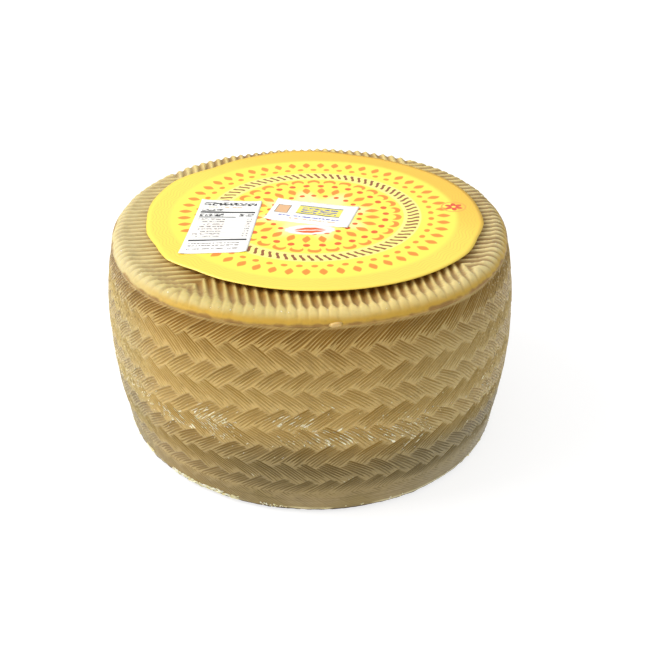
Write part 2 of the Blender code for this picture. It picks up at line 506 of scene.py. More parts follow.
@dataclass(frozen=True)
class RindPlace:
    """What the finishes of the rind measure at each point.

    Attributes:
        out: its distance from the wheel's axis.
        degrees: how far round the wheel it lies.
        down: how many rows it lies below the top of the band.
        u: its place in the print, in bundles.
        v: its place in the print, in rows.
        cloud: soft noise.
        blotch: softer noise, in broader waves.
    """

    plait: PlaitPrint
    place: Signal
    x: Signal
    y: Signal
    z: Signal
    out: Signal
    degrees: Signal
    down: Signal
    u: Signal
    v: Signal
    cloud: Signal
    blotch: Signal

    @classmethod
    def found(cls, s: Sketch, plait: PlaitPrint) -> RindPlace:
        """Draws all measures.

        Args:
            s: the material being drawn.
            plait: the print of the band.

        Returns:
            The measures.
        """
        place = s.place()
        x, y, z = s.split(place)
        from_axis = x - plait.outline.centre[0], y - plait.outline.centre[1]
        u, v, _ = s.split(s.spot())
        down = (z * -1.0 + (plait.outline.height - plait.top_drop)) / plait.row_pitch
        degrees = s.turned(*from_axis) * (360 / math.tau)
        cloud, blotch = s.noise(place, 34.0, 4.0), s.noise(place, 16.0, 3.0)
        return cls(plait, place, x, y, z, s.distance(*from_axis), degrees, down, u, v, cloud, blotch)


@dataclass(frozen=True)
class BandShares:
    """How much of each thing there is at a point of the rind, from 0 to 1.

    Attributes:
        side: the side, against the faces.
        foot: the foot below the band.
        stroke: the dark strokes.
        crest: the ridges between them.
    """

    side: Signal
    foot: Signal
    stroke: Signal
    crest: Signal


@dataclass(frozen=True)
class BladeStrokes:
    """The dark strokes that the plait's blades leave: solid in a bundle's upper half, pointed below. Their
    dark is partly the rind's own tone in the hollows and partly painted shade.

    Widths are shares of the pitch of the strokes, and lengths are shares of a row's height. A name that
    ends in own is how far one stroke may differ from the next; one that ends in narrower is taken off
    the width. Waves and strengths that come in pairs are given across a bundle and down a row, and where
    they start and by how much they change.
    """

    foot: Fade = Fade(-0.01, -0.3)
    foot_height: Fade = Fade(50 * MM, 40 * MM)
    side: Fade = Fade(-0.5, -0.01)
    fibres: Pair = (16.0, 1.6)
    grains: Pair = (34.0, 2.6)
    straying: float = 0.24
    half_width: float = 0.50
    row_narrower: float = 0.08
    own_narrower: float = 0.05
    foot_narrower: float = 0.1
    taper: Fade = Fade(0.2, 0.95, 0.13)
    tip: Fade = Fade(0.98, 1.3, 0.7)
    tip_own: float = 0.3
    rim: Fade = Fade(0.1, -0.12)
    flank: Fade = Fade(-0.14, 0.04)
    start: Fade = Fade(-0.03, 0.06)
    start_own: float = 0.08
    first_row: Fade = Fade(1.0, 0.95)
    first_cut: float = 0.06
    first_cut_own: float = 0.08
    # Painted shade: the first row's strokes are darker, under the rolled rim.
    first_row_shade: float = 0.5
    worn: Fade = Fade(0.9, -0.8, sway=2.4)
    unworn_left: Fade = Fade(-10 * MM, -50 * MM, 1.2)
    unworn_foot: Fade = Fade(0.45, 0.6, 0.4)
    strength: float = 0.50
    own_strength: float = 0.34
    bundle_strength: float = 0.10
    # Painted shade: strokes are darker on a bundle's deeper side, along with the deeper print there.
    across_shade: Pair = (1.08, 0.30)
    grain_strength: Pair = (0.55, 0.9)
    fainter_left: Fade = Fade(-30 * MM, -80 * MM, 0.2)
    darker_low: Fade = Fade(50 * MM, 34 * MM, 0.35)
    flecks: Fade = Fade(0.96, 1.3, 0.5)
    crest_aside: Fade = Fade(0.22, 0.40)
    crest_end: Fade = Fade(0.84, 0.96)

    def drawn(self, s: Sketch, at: RindPlace, beneath: Signal) -> BandShares:
        """Draws the strokes.

        Args:
            s: the material being drawn.
            at: the measures of the point.
            beneath: where the wheel's underside is.

        Returns:
            Where they and the parts round them lie.
        """
        plait, grooves = at.plait, float(at.plait.grooves)
        foot = at.v.fade(self.foot) * at.z.fade(self.foot_height) * (1.0 - beneath)
        below = at.down.most(plait.rows + 0.02)
        turned = (at.degrees - plait.turn) * (plait.bundles / 360)
        u = s.blend(foot, at.u, (below - (plait.rows + 1.0)) * plait.lean - turned)
        v = s.blend(foot, at.v, below - u.fract() * plait.tip)
        side = v.fade(self.side) * (1.0 - beneath)
        across = (u.fract() - plait.ridge_share / 2) * (grooves / (1 - plait.ridge_share))
        along = v.fract()
        own = s.draw(u.floor() * 7.0 + across.floor(), v.floor())
        bundle = s.draw(u.floor() * 3.0, v.floor() + 0.5)
        fibre, grain = s.streaks(u, v, self.fibres), s.streaks(u, v, self.grains)
        off = (across.fract() - 0.5 + (fibre - 0.5) * self.straying).size()
        odd_row = (v.floor() * 0.5).fract() * 2.0
        width = self.half_width - odd_row * self.row_narrower - own * self.own_narrower
        width = width - along.fade(self.taper) - foot * self.foot_narrower
        width = width - (along + own * self.tip_own).fade(self.tip)
        inside = across.fade(self.flank) * (grooves - across).fade(self.flank)
        first = v.fade(self.first_row)
        cut = first * (self.first_cut - across * (self.first_cut / grooves) + own * self.first_cut_own)
        starts = (along - (1.0 - own) * self.start_own - cut).fade(self.start)
        worn = (v - float(plait.rows)).fade(self.worn, at.blotch)
        worn = worn.most(at.x.fade(self.unworn_left)).most(foot * at.blotch.fade(self.unworn_foot))
        strong = self.strength + own * self.own_strength + bundle * self.bundle_strength
        # Painted shade on the deeper side of each bundle.
        strong = strong * (self.across_shade[0] - across * (self.across_shade[1] / grooves))
        strong = strong * worn * (self.grain_strength[0] + grain * self.grain_strength[1])
        # Painted shade darkens the first row, under the rolled rim.
        strong = strong * (1.0 - at.x.fade(self.fainter_left)) * (1.0 + first * self.first_row_shade)
        strong = strong * (1.0 + at.z.fade(self.darker_low))
        stroke = (off - width).fade(self.rim) * inside * starts * side * strong
        stroke = stroke.most((grain + fibre).fade(self.flecks) * side * worn)
        crest = off.fade(self.crest_aside).most(along.fade(self.crest_end)) * side
        return BandShares(side, foot, stroke.least(1.0), crest)


@dataclass(frozen=True)
class GlintPatch:
    """A patch of the band where painted highlights show the wax shining on the ridges between the strokes.

    Attributes:
        angle: of its middle, in degrees round the wheel.
        row: of its middle, in rows down the band.
        spread: half its width, in degrees.
        rows: half its height, in rows.
        strength: how much of it shines, from 0 to 1.
    """

    angle: float
    row: float
    spread: float
    rows: float
    strength: float = 1.0


@dataclass(frozen=True)
class WetGlints:
    """Painted highlights where wax shines: short dashes along the strokes, in patches and a few astray.

    Attributes:
        patches: where the dashes lie close together, each with its edge.
        stray: how the others come in with their noise, from the stray rows on.
        clumps: how all of them gather.
        dashes: how a dash comes in, and the more so the closer they lie.
        sparse: how many there must be for any to show.
    """

    patches: tuple[GlintPatch, ...] = (
        GlintPatch(-116.0, 5.3, 7.0, 0.9), GlintPatch(-126.0, 5.8, 7.0, 0.5),
        GlintPatch(-95.0, 4.7, 6.0, 0.45),
        GlintPatch(-84.0, 5.6, 12.0, 0.6), GlintPatch(-66.0, 6.0, 7.5, 1.0, 0.9),
        GlintPatch(-86.0, 3.95, 5.0, 0.25, 0.5), GlintPatch(-142.0, 4.6, 9.0, 0.5, 0.5),
        GlintPatch(-150.0, 6.4, 9.0, 0.6, 0.5), GlintPatch(-50.0, 5.2, 7.0, 0.4, 0.4),
        GlintPatch(35.0, 5.4, 16.0, 0.6, 0.7), GlintPatch(120.0, 5.0, 18.0, 0.7, 0.7),
    )
    patch_edge: Fade = Fade(1.5, 0.3)
    stray_waves: Pair = (0.36, 0.7)
    stray: Fade = Fade(0.56, 0.68, 0.4)
    stray_rows: Fade = Fade(3.4, 4.6)
    clump_waves: Pair = (3.0, 2.2)
    clumps: Fade = Fade(0.36, 0.56)
    dash_waves: Pair = (15.0, 4.6)
    dashes: Fade = Fade(0.70, 0.76)
    closer: float = 0.22
    sparse: Fade = Fade(0.05, 0.3)

    def drawn(self, s: Sketch, at: RindPlace) -> Signal:
        """Draws the painted glints.

        Args:
            s: the material being drawn.
            at: the measures of the point.

        Returns:
            Where they are.
        """
        shares = []
        for patch in self.patches:
            aside, below = (at.degrees - patch.angle) / patch.spread, (at.down - patch.row) / patch.rows
            shares.append((aside * aside + below * below).fade(self.patch_edge) * patch.strength)
        stray = s.streaks(at.u, at.v, self.stray_waves, 3.0).fade(self.stray) * at.v.fade(self.stray_rows)
        clumps = s.streaks(at.u, at.v, self.clump_waves, 1.0).fade(self.clumps)
        share = functools.reduce(Signal.most, shares, stray) * clumps
        dashes = s.streaks(at.u, at.v, self.dash_waves) + share * self.closer
        return dashes.fade(self.dashes) * share.fade(self.sparse)


@dataclass(frozen=True)
class WaxedRind:
    """The rind: golden brown under the rim, olive towards the base, with dark strokes in the plait.

    Each colour is named for the part that it goes on, and some are partly or wholly painted light: shade in
    the grooves and strokes, near the label's edge, on the rim's lower side, on the ledge and under the foot's
    lip, and highlights on the crests and in the glints. A fade says where a change comes in: by the height
    in the band and on the foot, by the height over the upper face for the rim and the ledge, by the
    distance to the right for what is named left, right, outer or corner, and by soft noise for clouds,
    crumbs, streaks, pores and specks. What a fade is worth at its end is its strength.
    """

    upper: BandTone = BandTone(tone(190, 154, 86), tone(144, 104, 32))
    middle: BandTone = BandTone(tone(202, 170, 106), tone(164, 129, 58))
    lower: BandTone = BandTone(tone(154, 134, 90), tone(107, 88, 44))
    golden: Fade = Fade(68 * MM, 90 * MM, sway=22 * MM)
    olive: Fade = Fade(48 * MM, 24 * MM, sway=26 * MM)
    olive_left: Fade = Fade(-15 * MM, -60 * MM, 0.45)
    # The pale is the rind's own paler clouds, and on the crests between the strokes a painted highlight.
    pale: Colour = tone(220, 192, 124)
    pale_clouds: Fade = Fade(0.45, 0.7, 0.4)
    crest_highlight: float = 0.3
    pale_low: float = 0.7
    left: Fade = Fade(-62 * MM, -82 * MM)
    left_tint: Colour = (0.88, 0.95, 1.08)
    right: Fade = Fade(15 * MM, 65 * MM)
    right_tint: Colour = (0.87, 0.94, 1.08)
    outer: Fade = Fade(40 * MM, 90 * MM)
    face_tint: Colour = (0.99, 1.07, 1.36)
    crest: Colour = tone(225, 201, 130)
    crest_left: Colour = tone(212, 190, 124)
    crest_corner: Colour = tone(202, 182, 112)
    # The rolled rim turns from the pale crest to gold as it bends down: partly its own tone and partly
    # painted shade under the light from above.
    crest_gold: Colour = tone(208, 166, 66)
    rim: Fade = Fade(-3.1 * MM, 0.1 * MM, sway=1.6 * MM)
    face_left: Fade = Fade(-50 * MM, -88 * MM)
    corner_x: Fade = Fade(10 * MM, -30 * MM)
    corner_y: Fade = Fade(-40 * MM, -70 * MM, 0.8)
    base: Fade = Fade(30 * MM, 20 * MM)
    # Painted shade: the faces' grooves darken with their depth, partly the rind's own tone there; near the
    # label's edge they take the dark of its shadow, and on the left less of it.
    groove: Colour = tone(160, 128, 78)
    groove_label_shade: Colour = tone(150, 110, 48)
    label_shade_reach: Fade = Fade(84 * MM, 77 * MM)
    groove_left: Fade = Fade(-40 * MM, -85 * MM, 0.45)
    groove_wall: Fade = Fade(0.0, 0.8)
    # Painted shade: the ledge's dark brown stands for the shadow under the rolled rim.
    ledge: Colour = tone(166, 126, 66)
    ledge_drop: Fade = Fade(-3.3 * MM, -4.3 * MM, sway=2.8 * MM)
    ledge_crumbs: Fade = Fade(0.42, 0.58)
    foot: Colour = tone(152, 132, 84)
    foot_warm: Colour = tone(166, 145, 102)
    foot_clouds: Fade = Fade(0.42, 0.62)
    foot_streak: Colour = tone(120, 102, 58)
    streak_waves: Pair = (20.0, 900.0)
    streaks: Fade = Fade(0.5, 0.68, 0.5)
    foot_smooth: Fade = Fade(13 * MM, 8 * MM, sway=10 * MM)
    foot_left: Fade = Fade(-20 * MM, -70 * MM, 0.6)
    # The pale edge is torn wax, partly a painted highlight where the lip catches the light.
    edge: Colour = tone(222, 206, 156)
    edge_clouds: Fade = Fade(0.46, 0.56)
    edge_height: Fade = Fade(3.4 * MM, 2.9 * MM, sway=1.4 * MM)
    # Painted shadow: the dark under the foot's lip, towards the floor.
    under: Colour = tone(58, 42, 26)
    lip: Fade = Fade(2.5 * MM, 2.0 * MM, sway=1.0 * MM)
    lip_foot: Fade = Fade(0.1 * MM, 0.5 * MM)
    underside: Fade = Fade(87.5 * MM, 84.5 * MM)
    underside_height: Fade = Fade(12 * MM, 8 * MM)
    # The pale specks' colour, which also paints the glints as highlights.
    speck_and_glint: Colour = tone(255, 248, 212)
    pit: Colour = tone(92, 78, 50)
    pores: Fade = Fade(0.45, 0.8, 0.16)
    turned_away: Fade = Fade(60 * MM, 90 * MM)
    dark_specks: Fade = Fade(0.58, 0.68, 0.7)
    pale_specks: Fade = Fade(0.40, 0.30, 0.35)
    strokes: BladeStrokes = BladeStrokes()
    glints: WetGlints = WetGlints()

    def material(self, plait: PlaitPrint) -> bpy.types.Material:
        """Makes the rind's material.

        Args:
            plait: the print of the band, which the strokes follow.

        Returns:
            The material.
        """
        s = Sketch("waxed_rind", roughness=0.42, subsurface=0.15)
        at = RindPlace.found(s, plait)
        beneath = at.out.fade(self.underside) * at.z.fade(self.underside_height)
        band = self.strokes.drawn(s, at, beneath)
        low = at.z.fade(self.olive, at.blotch) * (1.0 - at.x.fade(self.olive_left))
        high = at.z.fade(self.golden, at.blotch)
        land = s.mix(low, s.mix(high, self.middle.land, self.upper.land), self.lower.land)
        # Paler clouds of the rind, and a painted highlight on the crests between the strokes.
        paled_and_highlit = at.cloud.fade(self.pale_clouds).most(band.crest * self.crest_highlight)
        land = s.mix(paled_and_highlit * (1.0 - low * self.pale_low), land, self.pale)
        land = s.mix(band.foot, land, self.foot_tone(s, at, land))
        dark = s.mix(low, s.mix(high, self.middle.stroke, self.upper.stroke), self.lower.stroke)
        colour = s.mix(band.side, self.face_tone(s, at), s.mix(band.stroke, land, dark))
        colour = s.tint(at.x.fade(self.left) * band.side, colour, self.left_tint)
        colour = s.tint(at.x.fade(self.right) * band.side, colour, self.right_tint)
        colour = s.tint(at.x.size().fade(self.outer) * (1.0 - band.side), colour, self.face_tint)
        pores, specks = s.noise(at.place, 420.0, 3.0), s.noise(at.place, 760.0, 1.0)
        away = at.x.size().fade(self.turned_away) * band.side
        colour = s.mix(pores.fade(self.pores), colour, self.pit)
        colour = s.mix(specks.fade(self.dark_specks) * away, colour, self.pit)
        colour = s.mix(specks.fade(self.pale_specks) * away, colour, self.speck_and_glint)
        # Painted highlights: the glints on the crests.
        painted_glint = self.glints.drawn(s, at) * band.crest
        colour = s.mix(painted_glint, colour, self.speck_and_glint)
        s.bump(pores, 0.07 * MM)
        s.bump(1.0 - band.stroke, 0.10 * MM)
        s.bump(painted_glint, 0.2 * MM)
        s.shader.inputs["Specular IOR Level"].default_value = 0.2
        s.coat(0.03, 0.25)
        return s.finish(colour, 0.48 - painted_glint * 0.3)

    def face_tone(self, s: Sketch, at: RindPlace) -> Signal:
        """Draws the colour of the ribbed faces, of the rolled rim and of the ledge under it, with painted
        shade in the grooves, on the rim's lower side and on the ledge.

        Args:
            s: the material being drawn.
            at: the measures of the point.

        Returns:
            The colour.
        """
        centre = at.plait.outline.centre
        x, y = at.x - centre[0], at.y - centre[1]
        over = at.z - at.plait.outline.height
        crumb = s.noise(at.place, 150.0, 3.0)
        base = at.z.fade(self.base)
        # The rim's gold lower side: partly painted shade.
        rim = over.fade(self.rim, at.cloud + crumb - 0.5).most(base)
        left = x.fade(self.face_left)
        corner = x.fade(self.corner_x) * y.fade(self.corner_y)
        crest = s.mix(left, s.mix(corner, self.crest, self.crest_corner), self.crest_left)
        colour = s.mix(rim, s.mix(left, self.crest_gold, self.crest_left), crest)
        # Painted shade in the grooves, darkest near the label's edge where its shadow falls.
        groove = s.mix(at.out.fade(self.label_shade_reach), self.groove, self.groove_label_shade)
        groove = s.mix(x.fade(self.groove_left), groove, self.crest_left)
        colour = s.mix(s.attribute("hollow").fade(self.groove_wall), colour, groove)
        # Painted shadow on the ledge under the rolled rim, broken by crumbs of the band's tone.
        ledge = over.fade(self.ledge_drop, crumb) * (1.0 - base)
        return s.mix(ledge, colour, s.mix(crumb.fade(self.ledge_crumbs), self.ledge, self.upper.land))

    def foot_tone(self, s: Sketch, at: RindPlace, land: Signal) -> Signal:
        """Draws the foot's colour, with its pale broken edge, partly a painted highlight, and the painted
        shadow under its lip.

        Args:
            s: the material being drawn.
            at: the measures of the point.
            land: the band's colour, with which it starts.

        Returns:
            The colour.
        """
        foot = s.mix(at.cloud.fade(self.foot_clouds), self.foot, self.foot_warm)
        foot = s.mix(s.streaks(at.x, at.z, self.streak_waves, 3.0).fade(self.streaks), foot, self.foot_streak)
        smooth = at.z.fade(self.foot_smooth, at.cloud) * (1.0 - at.x.fade(self.foot_left))
        foot = s.mix(smooth, land, foot)
        # Pale broken edge: torn wax, partly a painted highlight.
        edge = at.z.fade(self.edge_height, at.cloud) * at.cloud.fade(self.edge_clouds)
        foot = s.mix(edge, foot, self.edge)
        # Painted shadow under the lip.
        return s.mix(at.z.fade(self.lip, at.cloud) * at.z.fade(self.lip_foot), foot, self.under)


# The wheel


@dataclass
class WheelOutline:
    """The turned form of the wheel, before any relief.

    Attributes:
        height: from the base to the flat of the top.
        bulge: how far the side stands out half-way.
        top_lobes: waves round the top as (count, share of the radius, degrees of one crest).
        base_lobes: the same round the base.
        centre: where the axis of turning stands in the frame, whose origin is the middle of the box.
    """

    height: float
    shoulder_radius: float = 92.8 * MM
    base_radius: float = 91.0 * MM
    bulge: float = 6.4 * MM
    top_lobes: tuple[Lobe, ...] = (
        (1, 0.0129, -116.7), (2, 0.0130, -93.0), (3, 0.0029, -23.3), (4, 0.0087, -42.2), (5, 0.0031, 16.9))
    base_lobes: tuple[Lobe, ...] = ((2, 0.0151, -78.0), (3, 0.0076, 41.0))
    centre: Pair = field(init=False)

    def __post_init__(self) -> None:
        """Works out how far the axis stands from the middle of the lobed outline's box."""
        places = [(math.radians(degree), self.height * step / 8)
                  for degree in range(360) for step in range(9)]
        reach = [(self.side_radius(z) * self.lobe(a, z), a) for a, z in places]
        spans = [[radius * part(a) for radius, a in reach] for part in (math.cos, math.sin)]
        self.centre = tuple(-(max(span) + min(span)) / 2 for span in spans)

    def side_radius(self, z: float) -> float:
        """Works out the side's radius.

        Args:
            z: the height.

        Returns:
            The radius there, without the lobes.
        """
        down = (self.height - z) / self.height
        straight = (1 - down) * self.shoulder_radius + down * self.base_radius
        return straight + 4 * self.bulge * down * (1 - down)

    def lobe(self, angle: float, z: float) -> float:
        """How much larger than a circle the wheel is at an angle and height: it is squarer at the top."""
        top, base = lobed(angle, self.top_lobes), lobed(angle, self.base_lobes)
        return 1 + base + (top - base) * z / self.height

    def share_round(self, place: Point) -> float:
        """How far round the wheel a point lies, as a share of a turn."""
        return math.atan2(place[1] - self.centre[1], place[0] - self.centre[0]) / math.tau % 1.0

    def place(self, angle: float, radius: float, z: float, share: float = 1.0) -> Point:
        """Finds a point of the frame from its radius before the lobes, of which it follows a share."""
        radius *= 1 + (self.lobe(angle, z) - 1) * share
        return (self.centre[0] + radius * math.cos(angle), self.centre[1] + radius * math.sin(angle), z)


@dataclass
class PlaitPrint:
    """The print of the plaited grass band: rows of leaning bundles whose ends interlock.

    A bundle's blades run from one zigzag border of its row to the next. Every other row leans the
    other way. Ridges divide the bundles, and each short end of a bundle lies on a ridge of the next row.

    Attributes:
        ledge_share: how much of the first row the ledge under the rim takes.
        lean: how many bundles a blade goes round in one row.
        bow: how far it bends on its way, in rows.
        ridge_share: the width of a ridge, in bundles.
        hollow_depth: how deep a bundle lies, whose grooves lie deeper by the groove's depth.
        groove_half: half the width of a groove's floor, in pitches, which closes in at the lower end.
        presses: how deep a groove is on its way down, as (share of its length, share of its depth).
        weights: the shares of the depth that the faintest and the deepest bundle have.
        even_radius: of the cylinder on which the band's rises, shifts and swells are measured.
    """

    outline: WheelOutline
    draft: MeshDraft
    bundles: int = 60
    rows: int = 9
    row_pitch: float = 9.3 * MM
    top_drop: float = 3.5 * MM
    ledge_share: float = 0.16
    turn: float = -90.8
    lean: float = 1.29
    bow: float = 0.05
    ridge_share: float = 0.05
    grooves: int = 5
    hollow_depth: float = 0.12 * MM
    groove_depth: float = 0.42 * MM
    groove_half: float = 0.26
    groove_closing: float = 0.12
    groove_stray: float = 0.02
    presses: tuple[Pair, ...] = (
        (0.03, 0.5), (0.10, 1), (0.30, 1), (0.5, 0.95), (0.69, 0.9), (0.86, 0.7), (0.96, 0.2))
    weights: Pair = (0.7, 1.2)
    last_weight: float = 0.55
    end_steps: int = 8
    inset: float = 0.5 * MM
    even_radius: float = 100 * MM
    rises: tuple[Waver, ...] = (Waver(1.3 * MM, 34 * MM, 3.0), Waver(0.25 * MM, 9 * MM, 13.0))
    shifts: Waver = Waver(0.16, 17 * MM, 8.0)
    swells: tuple[Waver, ...] = (Waver(0.5 * MM, 26 * MM, 5.0), Waver(0.16 * MM, 5 * MM, 4.0))
    owned: dict[tuple[int, int, int], int] = field(default_factory=dict, init=False)
    free: dict[tuple[int, int], list[int]] = field(default_factory=dict, init=False)

    def __post_init__(self) -> None:
        """Works out where the stations of a ridge lie, so that the rows' meshes meet point to point."""
        self.tip = 1 / (2 * self.lean)
        unit = (0.0, 0.05, 0.95 - 2 * self.tip, 1 - 2 * self.tip)
        self.falls = [lap * self.tip + step for lap in range(3) for step in unit]
        self.row_end = len(self.falls) - 1
        self.falls += [1 + step for step in (*unit[1:], self.tip)]
        self.lap = len(unit)

    def slant(self, row: int) -> int:
        """1 for a row whose blades rise to the right, -1 for the others."""
        return 1 if row % 2 == 0 else -1

    def turned(self, row: int, line: int, share: float, fall: float) -> float:
        """Works out how far round the wheel a point of a bundle lies.

        Args:
            row: the row, from 0 at the top.
            line: the bundle.
            share: how far across it the point lies.
            fall: rows below the top of the row.

        Returns:
            That distance in bundles.
        """
        bent = fall + self.bow * math.sin(math.pi * fall)
        start = 0.0 if self.slant(row) > 0 else -self.lean
        return line + start + self.slant(row) * (share - self.lean * bent)

    def place(self, row: int, turned: float, fall: float, pushed: float) -> Point:
        """Finds the point in the frame, strayed a little from the even pattern as the real band does.

        Args:
            row: the row, from 0 at the top.
            turned: bundles round the wheel.
            fall: rows below the top of this row.
            pushed: how far the print goes in there, in metres.

        Returns:
            The point.
        """
        down = row + fall
        bundle = math.tau / self.bundles
        angle = math.radians(self.turn) + turned * bundle
        even = (self.even_radius * math.cos(angle), self.even_radius * math.sin(angle), down * self.row_pitch)
        free = eased(down - self.ledge_share) * eased(self.rows - down)
        z = self.outline.height - self.top_drop - down * self.row_pitch
        z += free * sum(rise.at(even) for rise in self.rises)
        angle += free * self.shifts.at(even) * bundle
        inset = self.inset * (1 + eased(1.0 - down)) + pushed - sum(swell.at(even) for swell in self.swells)
        return self.outline.place(angle, self.outline.side_radius(z) - inset, z)

    def fall_of(self, row: int, step: int) -> float:
        """How many rows below the top of its row a ridge's station lies."""
        past_ledge = self.ledge_share + (1 - self.ledge_share) * step / self.row_end
        return past_ledge if row == 0 and step < self.row_end else self.falls[step]

    def ridge(self, row: int, line: int, step: int) -> int:
        """Finds or adds a ridge's point, which may belong to the row above or below.

        Args:
            row: the row.
            line: the bundle that the ridge starts.
            step: which of the ridge's stations.

        Returns:
            The number of the point.
        """
        line %= self.bundles
        if step == 0 and row > 0:
            return self.ridge(row - 1, line, self.row_end)
        if step == len(self.falls) - 1 and row < self.rows - 1:
            return self.ridge(row + 1, line - self.slant(row), self.lap)
        key = (row, line, step)
        if key not in self.owned:
            fall = self.fall_of(row, step)
            self.owned[key] = self.draft.point(self.place(row, self.turned(row, line, 0.0, fall), fall, 0.0))
        return self.owned[key]

    def top_of(self, row: int, share: float) -> float:
        """Where a blade starts, in rows below the top of its row."""
        return self.ledge_share if row == 0 else self.tip * share

    def foot_of(self, row: int, share: float) -> float:
        """Where a blade ends."""
        return 1.0 if row == self.rows - 1 else 1 + self.tip * share

    def side(self, row: int, line: int, share: int) -> list[Station]:
        """Finds the stations down one long side of a bundle.

        Args:
            row: the row.
            line: the bundle.
            share: 0 for its own ridge and 1 for the next.

        Returns:
            The stations, from the top.
        """
        first = self.lap if share and row else 0
        last = len(self.falls) if share and row < self.rows - 1 else self.row_end + 1
        top, foot = self.top_of(row, share), self.foot_of(row, share)
        stations = []
        for step in range(first, last):
            along = (self.fall_of(row, step) - top) / (foot - top)
            index = self.ridge(row, line + share * self.slant(row), step)
            stations.append(Station(along, index, (line % self.bundles + share, row + along)))
        return stations

    def free_end(self, row: int, line: int) -> list[int]:
        """Finds or adds the points between the corners of a short end at the top or foot of the band.

        Args:
            row: the first or the last row.
            line: the bundle.

        Returns:
            The numbers of the points.
        """
        key = (row, line % self.bundles)
        if key not in self.free:
            self.free[key] = []
            for share in (i / self.end_steps for i in range(1, self.end_steps)):
                fall = self.foot_of(row, share) if row else self.top_of(row, share)
                place = self.place(row, self.turned(row, key[1], share, fall), fall, 0.0)
                self.free[key].append(self.draft.point(place))
        return self.free[key]

    def end(self, row: int, line: int, along: int) -> list[Station]:
        """Finds the stations across one short end of a bundle.

        Args:
            row: the row.
            line: the bundle.
            along: 0 for the upper end and 1 for the lower.

        Returns:
            The stations, from the bundle's own ridge.
        """
        own = line % self.bundles
        if row + along in (0, self.rows):
            step = self.row_end if along else 0
            corners = [self.ridge(row, line + side * self.slant(row), step) for side in (0, 1)]
            indices = [corners[0], *self.free_end(row, line), corners[1]]
            shares = [i / self.end_steps for i in range(self.end_steps + 1)]
        else:
            upper, first = (row + 1, 0) if along else (row - 1, self.row_end)
            indices = [self.ridge(upper, line, first + i) for i in range(self.lap + 1)]
            shares = [fall / self.tip for fall in self.falls[:self.lap + 1]]
        return [Station(share, index, (own + share, row + along)) for share, index in zip(shares, indices)]

    def columns(self, draw: random.Random) -> list[tuple[float, float, float, float, float]]:
        """Works out the mesh's columns across a bundle.

        Args:
            draw: the source of this bundle's uneven blades.

        Returns:
            For each column its even share across the bundle, how far it closes in as its stroke narrows,
            how far it strays at the upper and the lower end, and how much of a groove lies there.
        """
        pitch = (1 - self.ridge_share) / self.grooves
        half, closing, most = self.groove_half * pitch, self.groove_closing * pitch, self.groove_stray
        columns = []
        for number in range(self.grooves):
            centre = self.ridge_share / 2 + (number + 0.5) * pitch
            stray = (draw.uniform(-most, most), draw.uniform(-most, most))
            depth = 1.3 - 0.5 * centre
            columns += [(centre - half, closing, *stray, depth * draw.uniform(0.8, 1.2)),
                        (centre + half, -closing, *stray, depth * draw.uniform(0.6, 1.0)),
                        (centre + pitch / 2, 0.0, *stray, draw.uniform(0.0, 0.25))]
        return columns[:-1]

    def bundle(self, row: int, line: int) -> None:
        """Adds one bundle's print.

        Args:
            row: the row.
            line: the bundle.
        """
        draw = random.Random(row * self.bundles + line)
        weight = draw.uniform(*self.weights) * (self.last_weight if row == self.rows - 1 else 1.0)
        core = []
        for share, closing, upper, lower, groove in self.columns(draw):
            column = []
            for along, press in self.presses:
                real = share + closing * eased(along * 1.4 - 0.4) + upper * (1 - along) + lower * along
                top, foot = self.top_of(row, real), self.foot_of(row, real)
                fall = top + (foot - top) * along
                hollow = self.hollow_depth * math.sqrt(math.sin(math.pi * share) * math.sin(math.pi * along))
                pushed = weight * (hollow + self.groove_depth * groove * press)
                place = self.place(row, self.turned(row, line, real, fall), fall, pushed)
                index = self.draft.point(place, groove * press)
                column.append(Station(along, index, (line + share, row + along)))
            core.append(column)
        for first, second in zip(core, core[1:]):
            self.draft.fill(first, second)
        self.draft.fill(self.side(row, line, 0), core[0])
        self.draft.fill(core[-1], self.side(row, line, 1))
        shares = [column[0] for column in self.columns(random.Random(0))]
        for along in (0, 1):
            inner = [Station(share, column[-along].index, column[-along].spot)
                     for share, column in zip(shares, core)]
            self.draft.fill(self.end(row, line, along), inner)

    def build(self) -> None:
        """Adds all rows."""
        for row in range(self.rows):
            for line in range(self.bundles):
                self.bundle(row, line)

    def border(self, row: int) -> list[Station]:
        """Finds the ring that closes the band.

        Args:
            row: 0 for the ring at its top, and the last row for the one at its foot.

        Returns:
            The stations of the ring.
        """
        step = self.row_end if row else 0
        ring = []
        for line in range(self.bundles):
            for index in (self.ridge(row, line, step), *self.free_end(row, line)):
                ring.append(Station(self.outline.share_round(self.draft.points[index]), index, (0.0, -0.4)))
        return ring


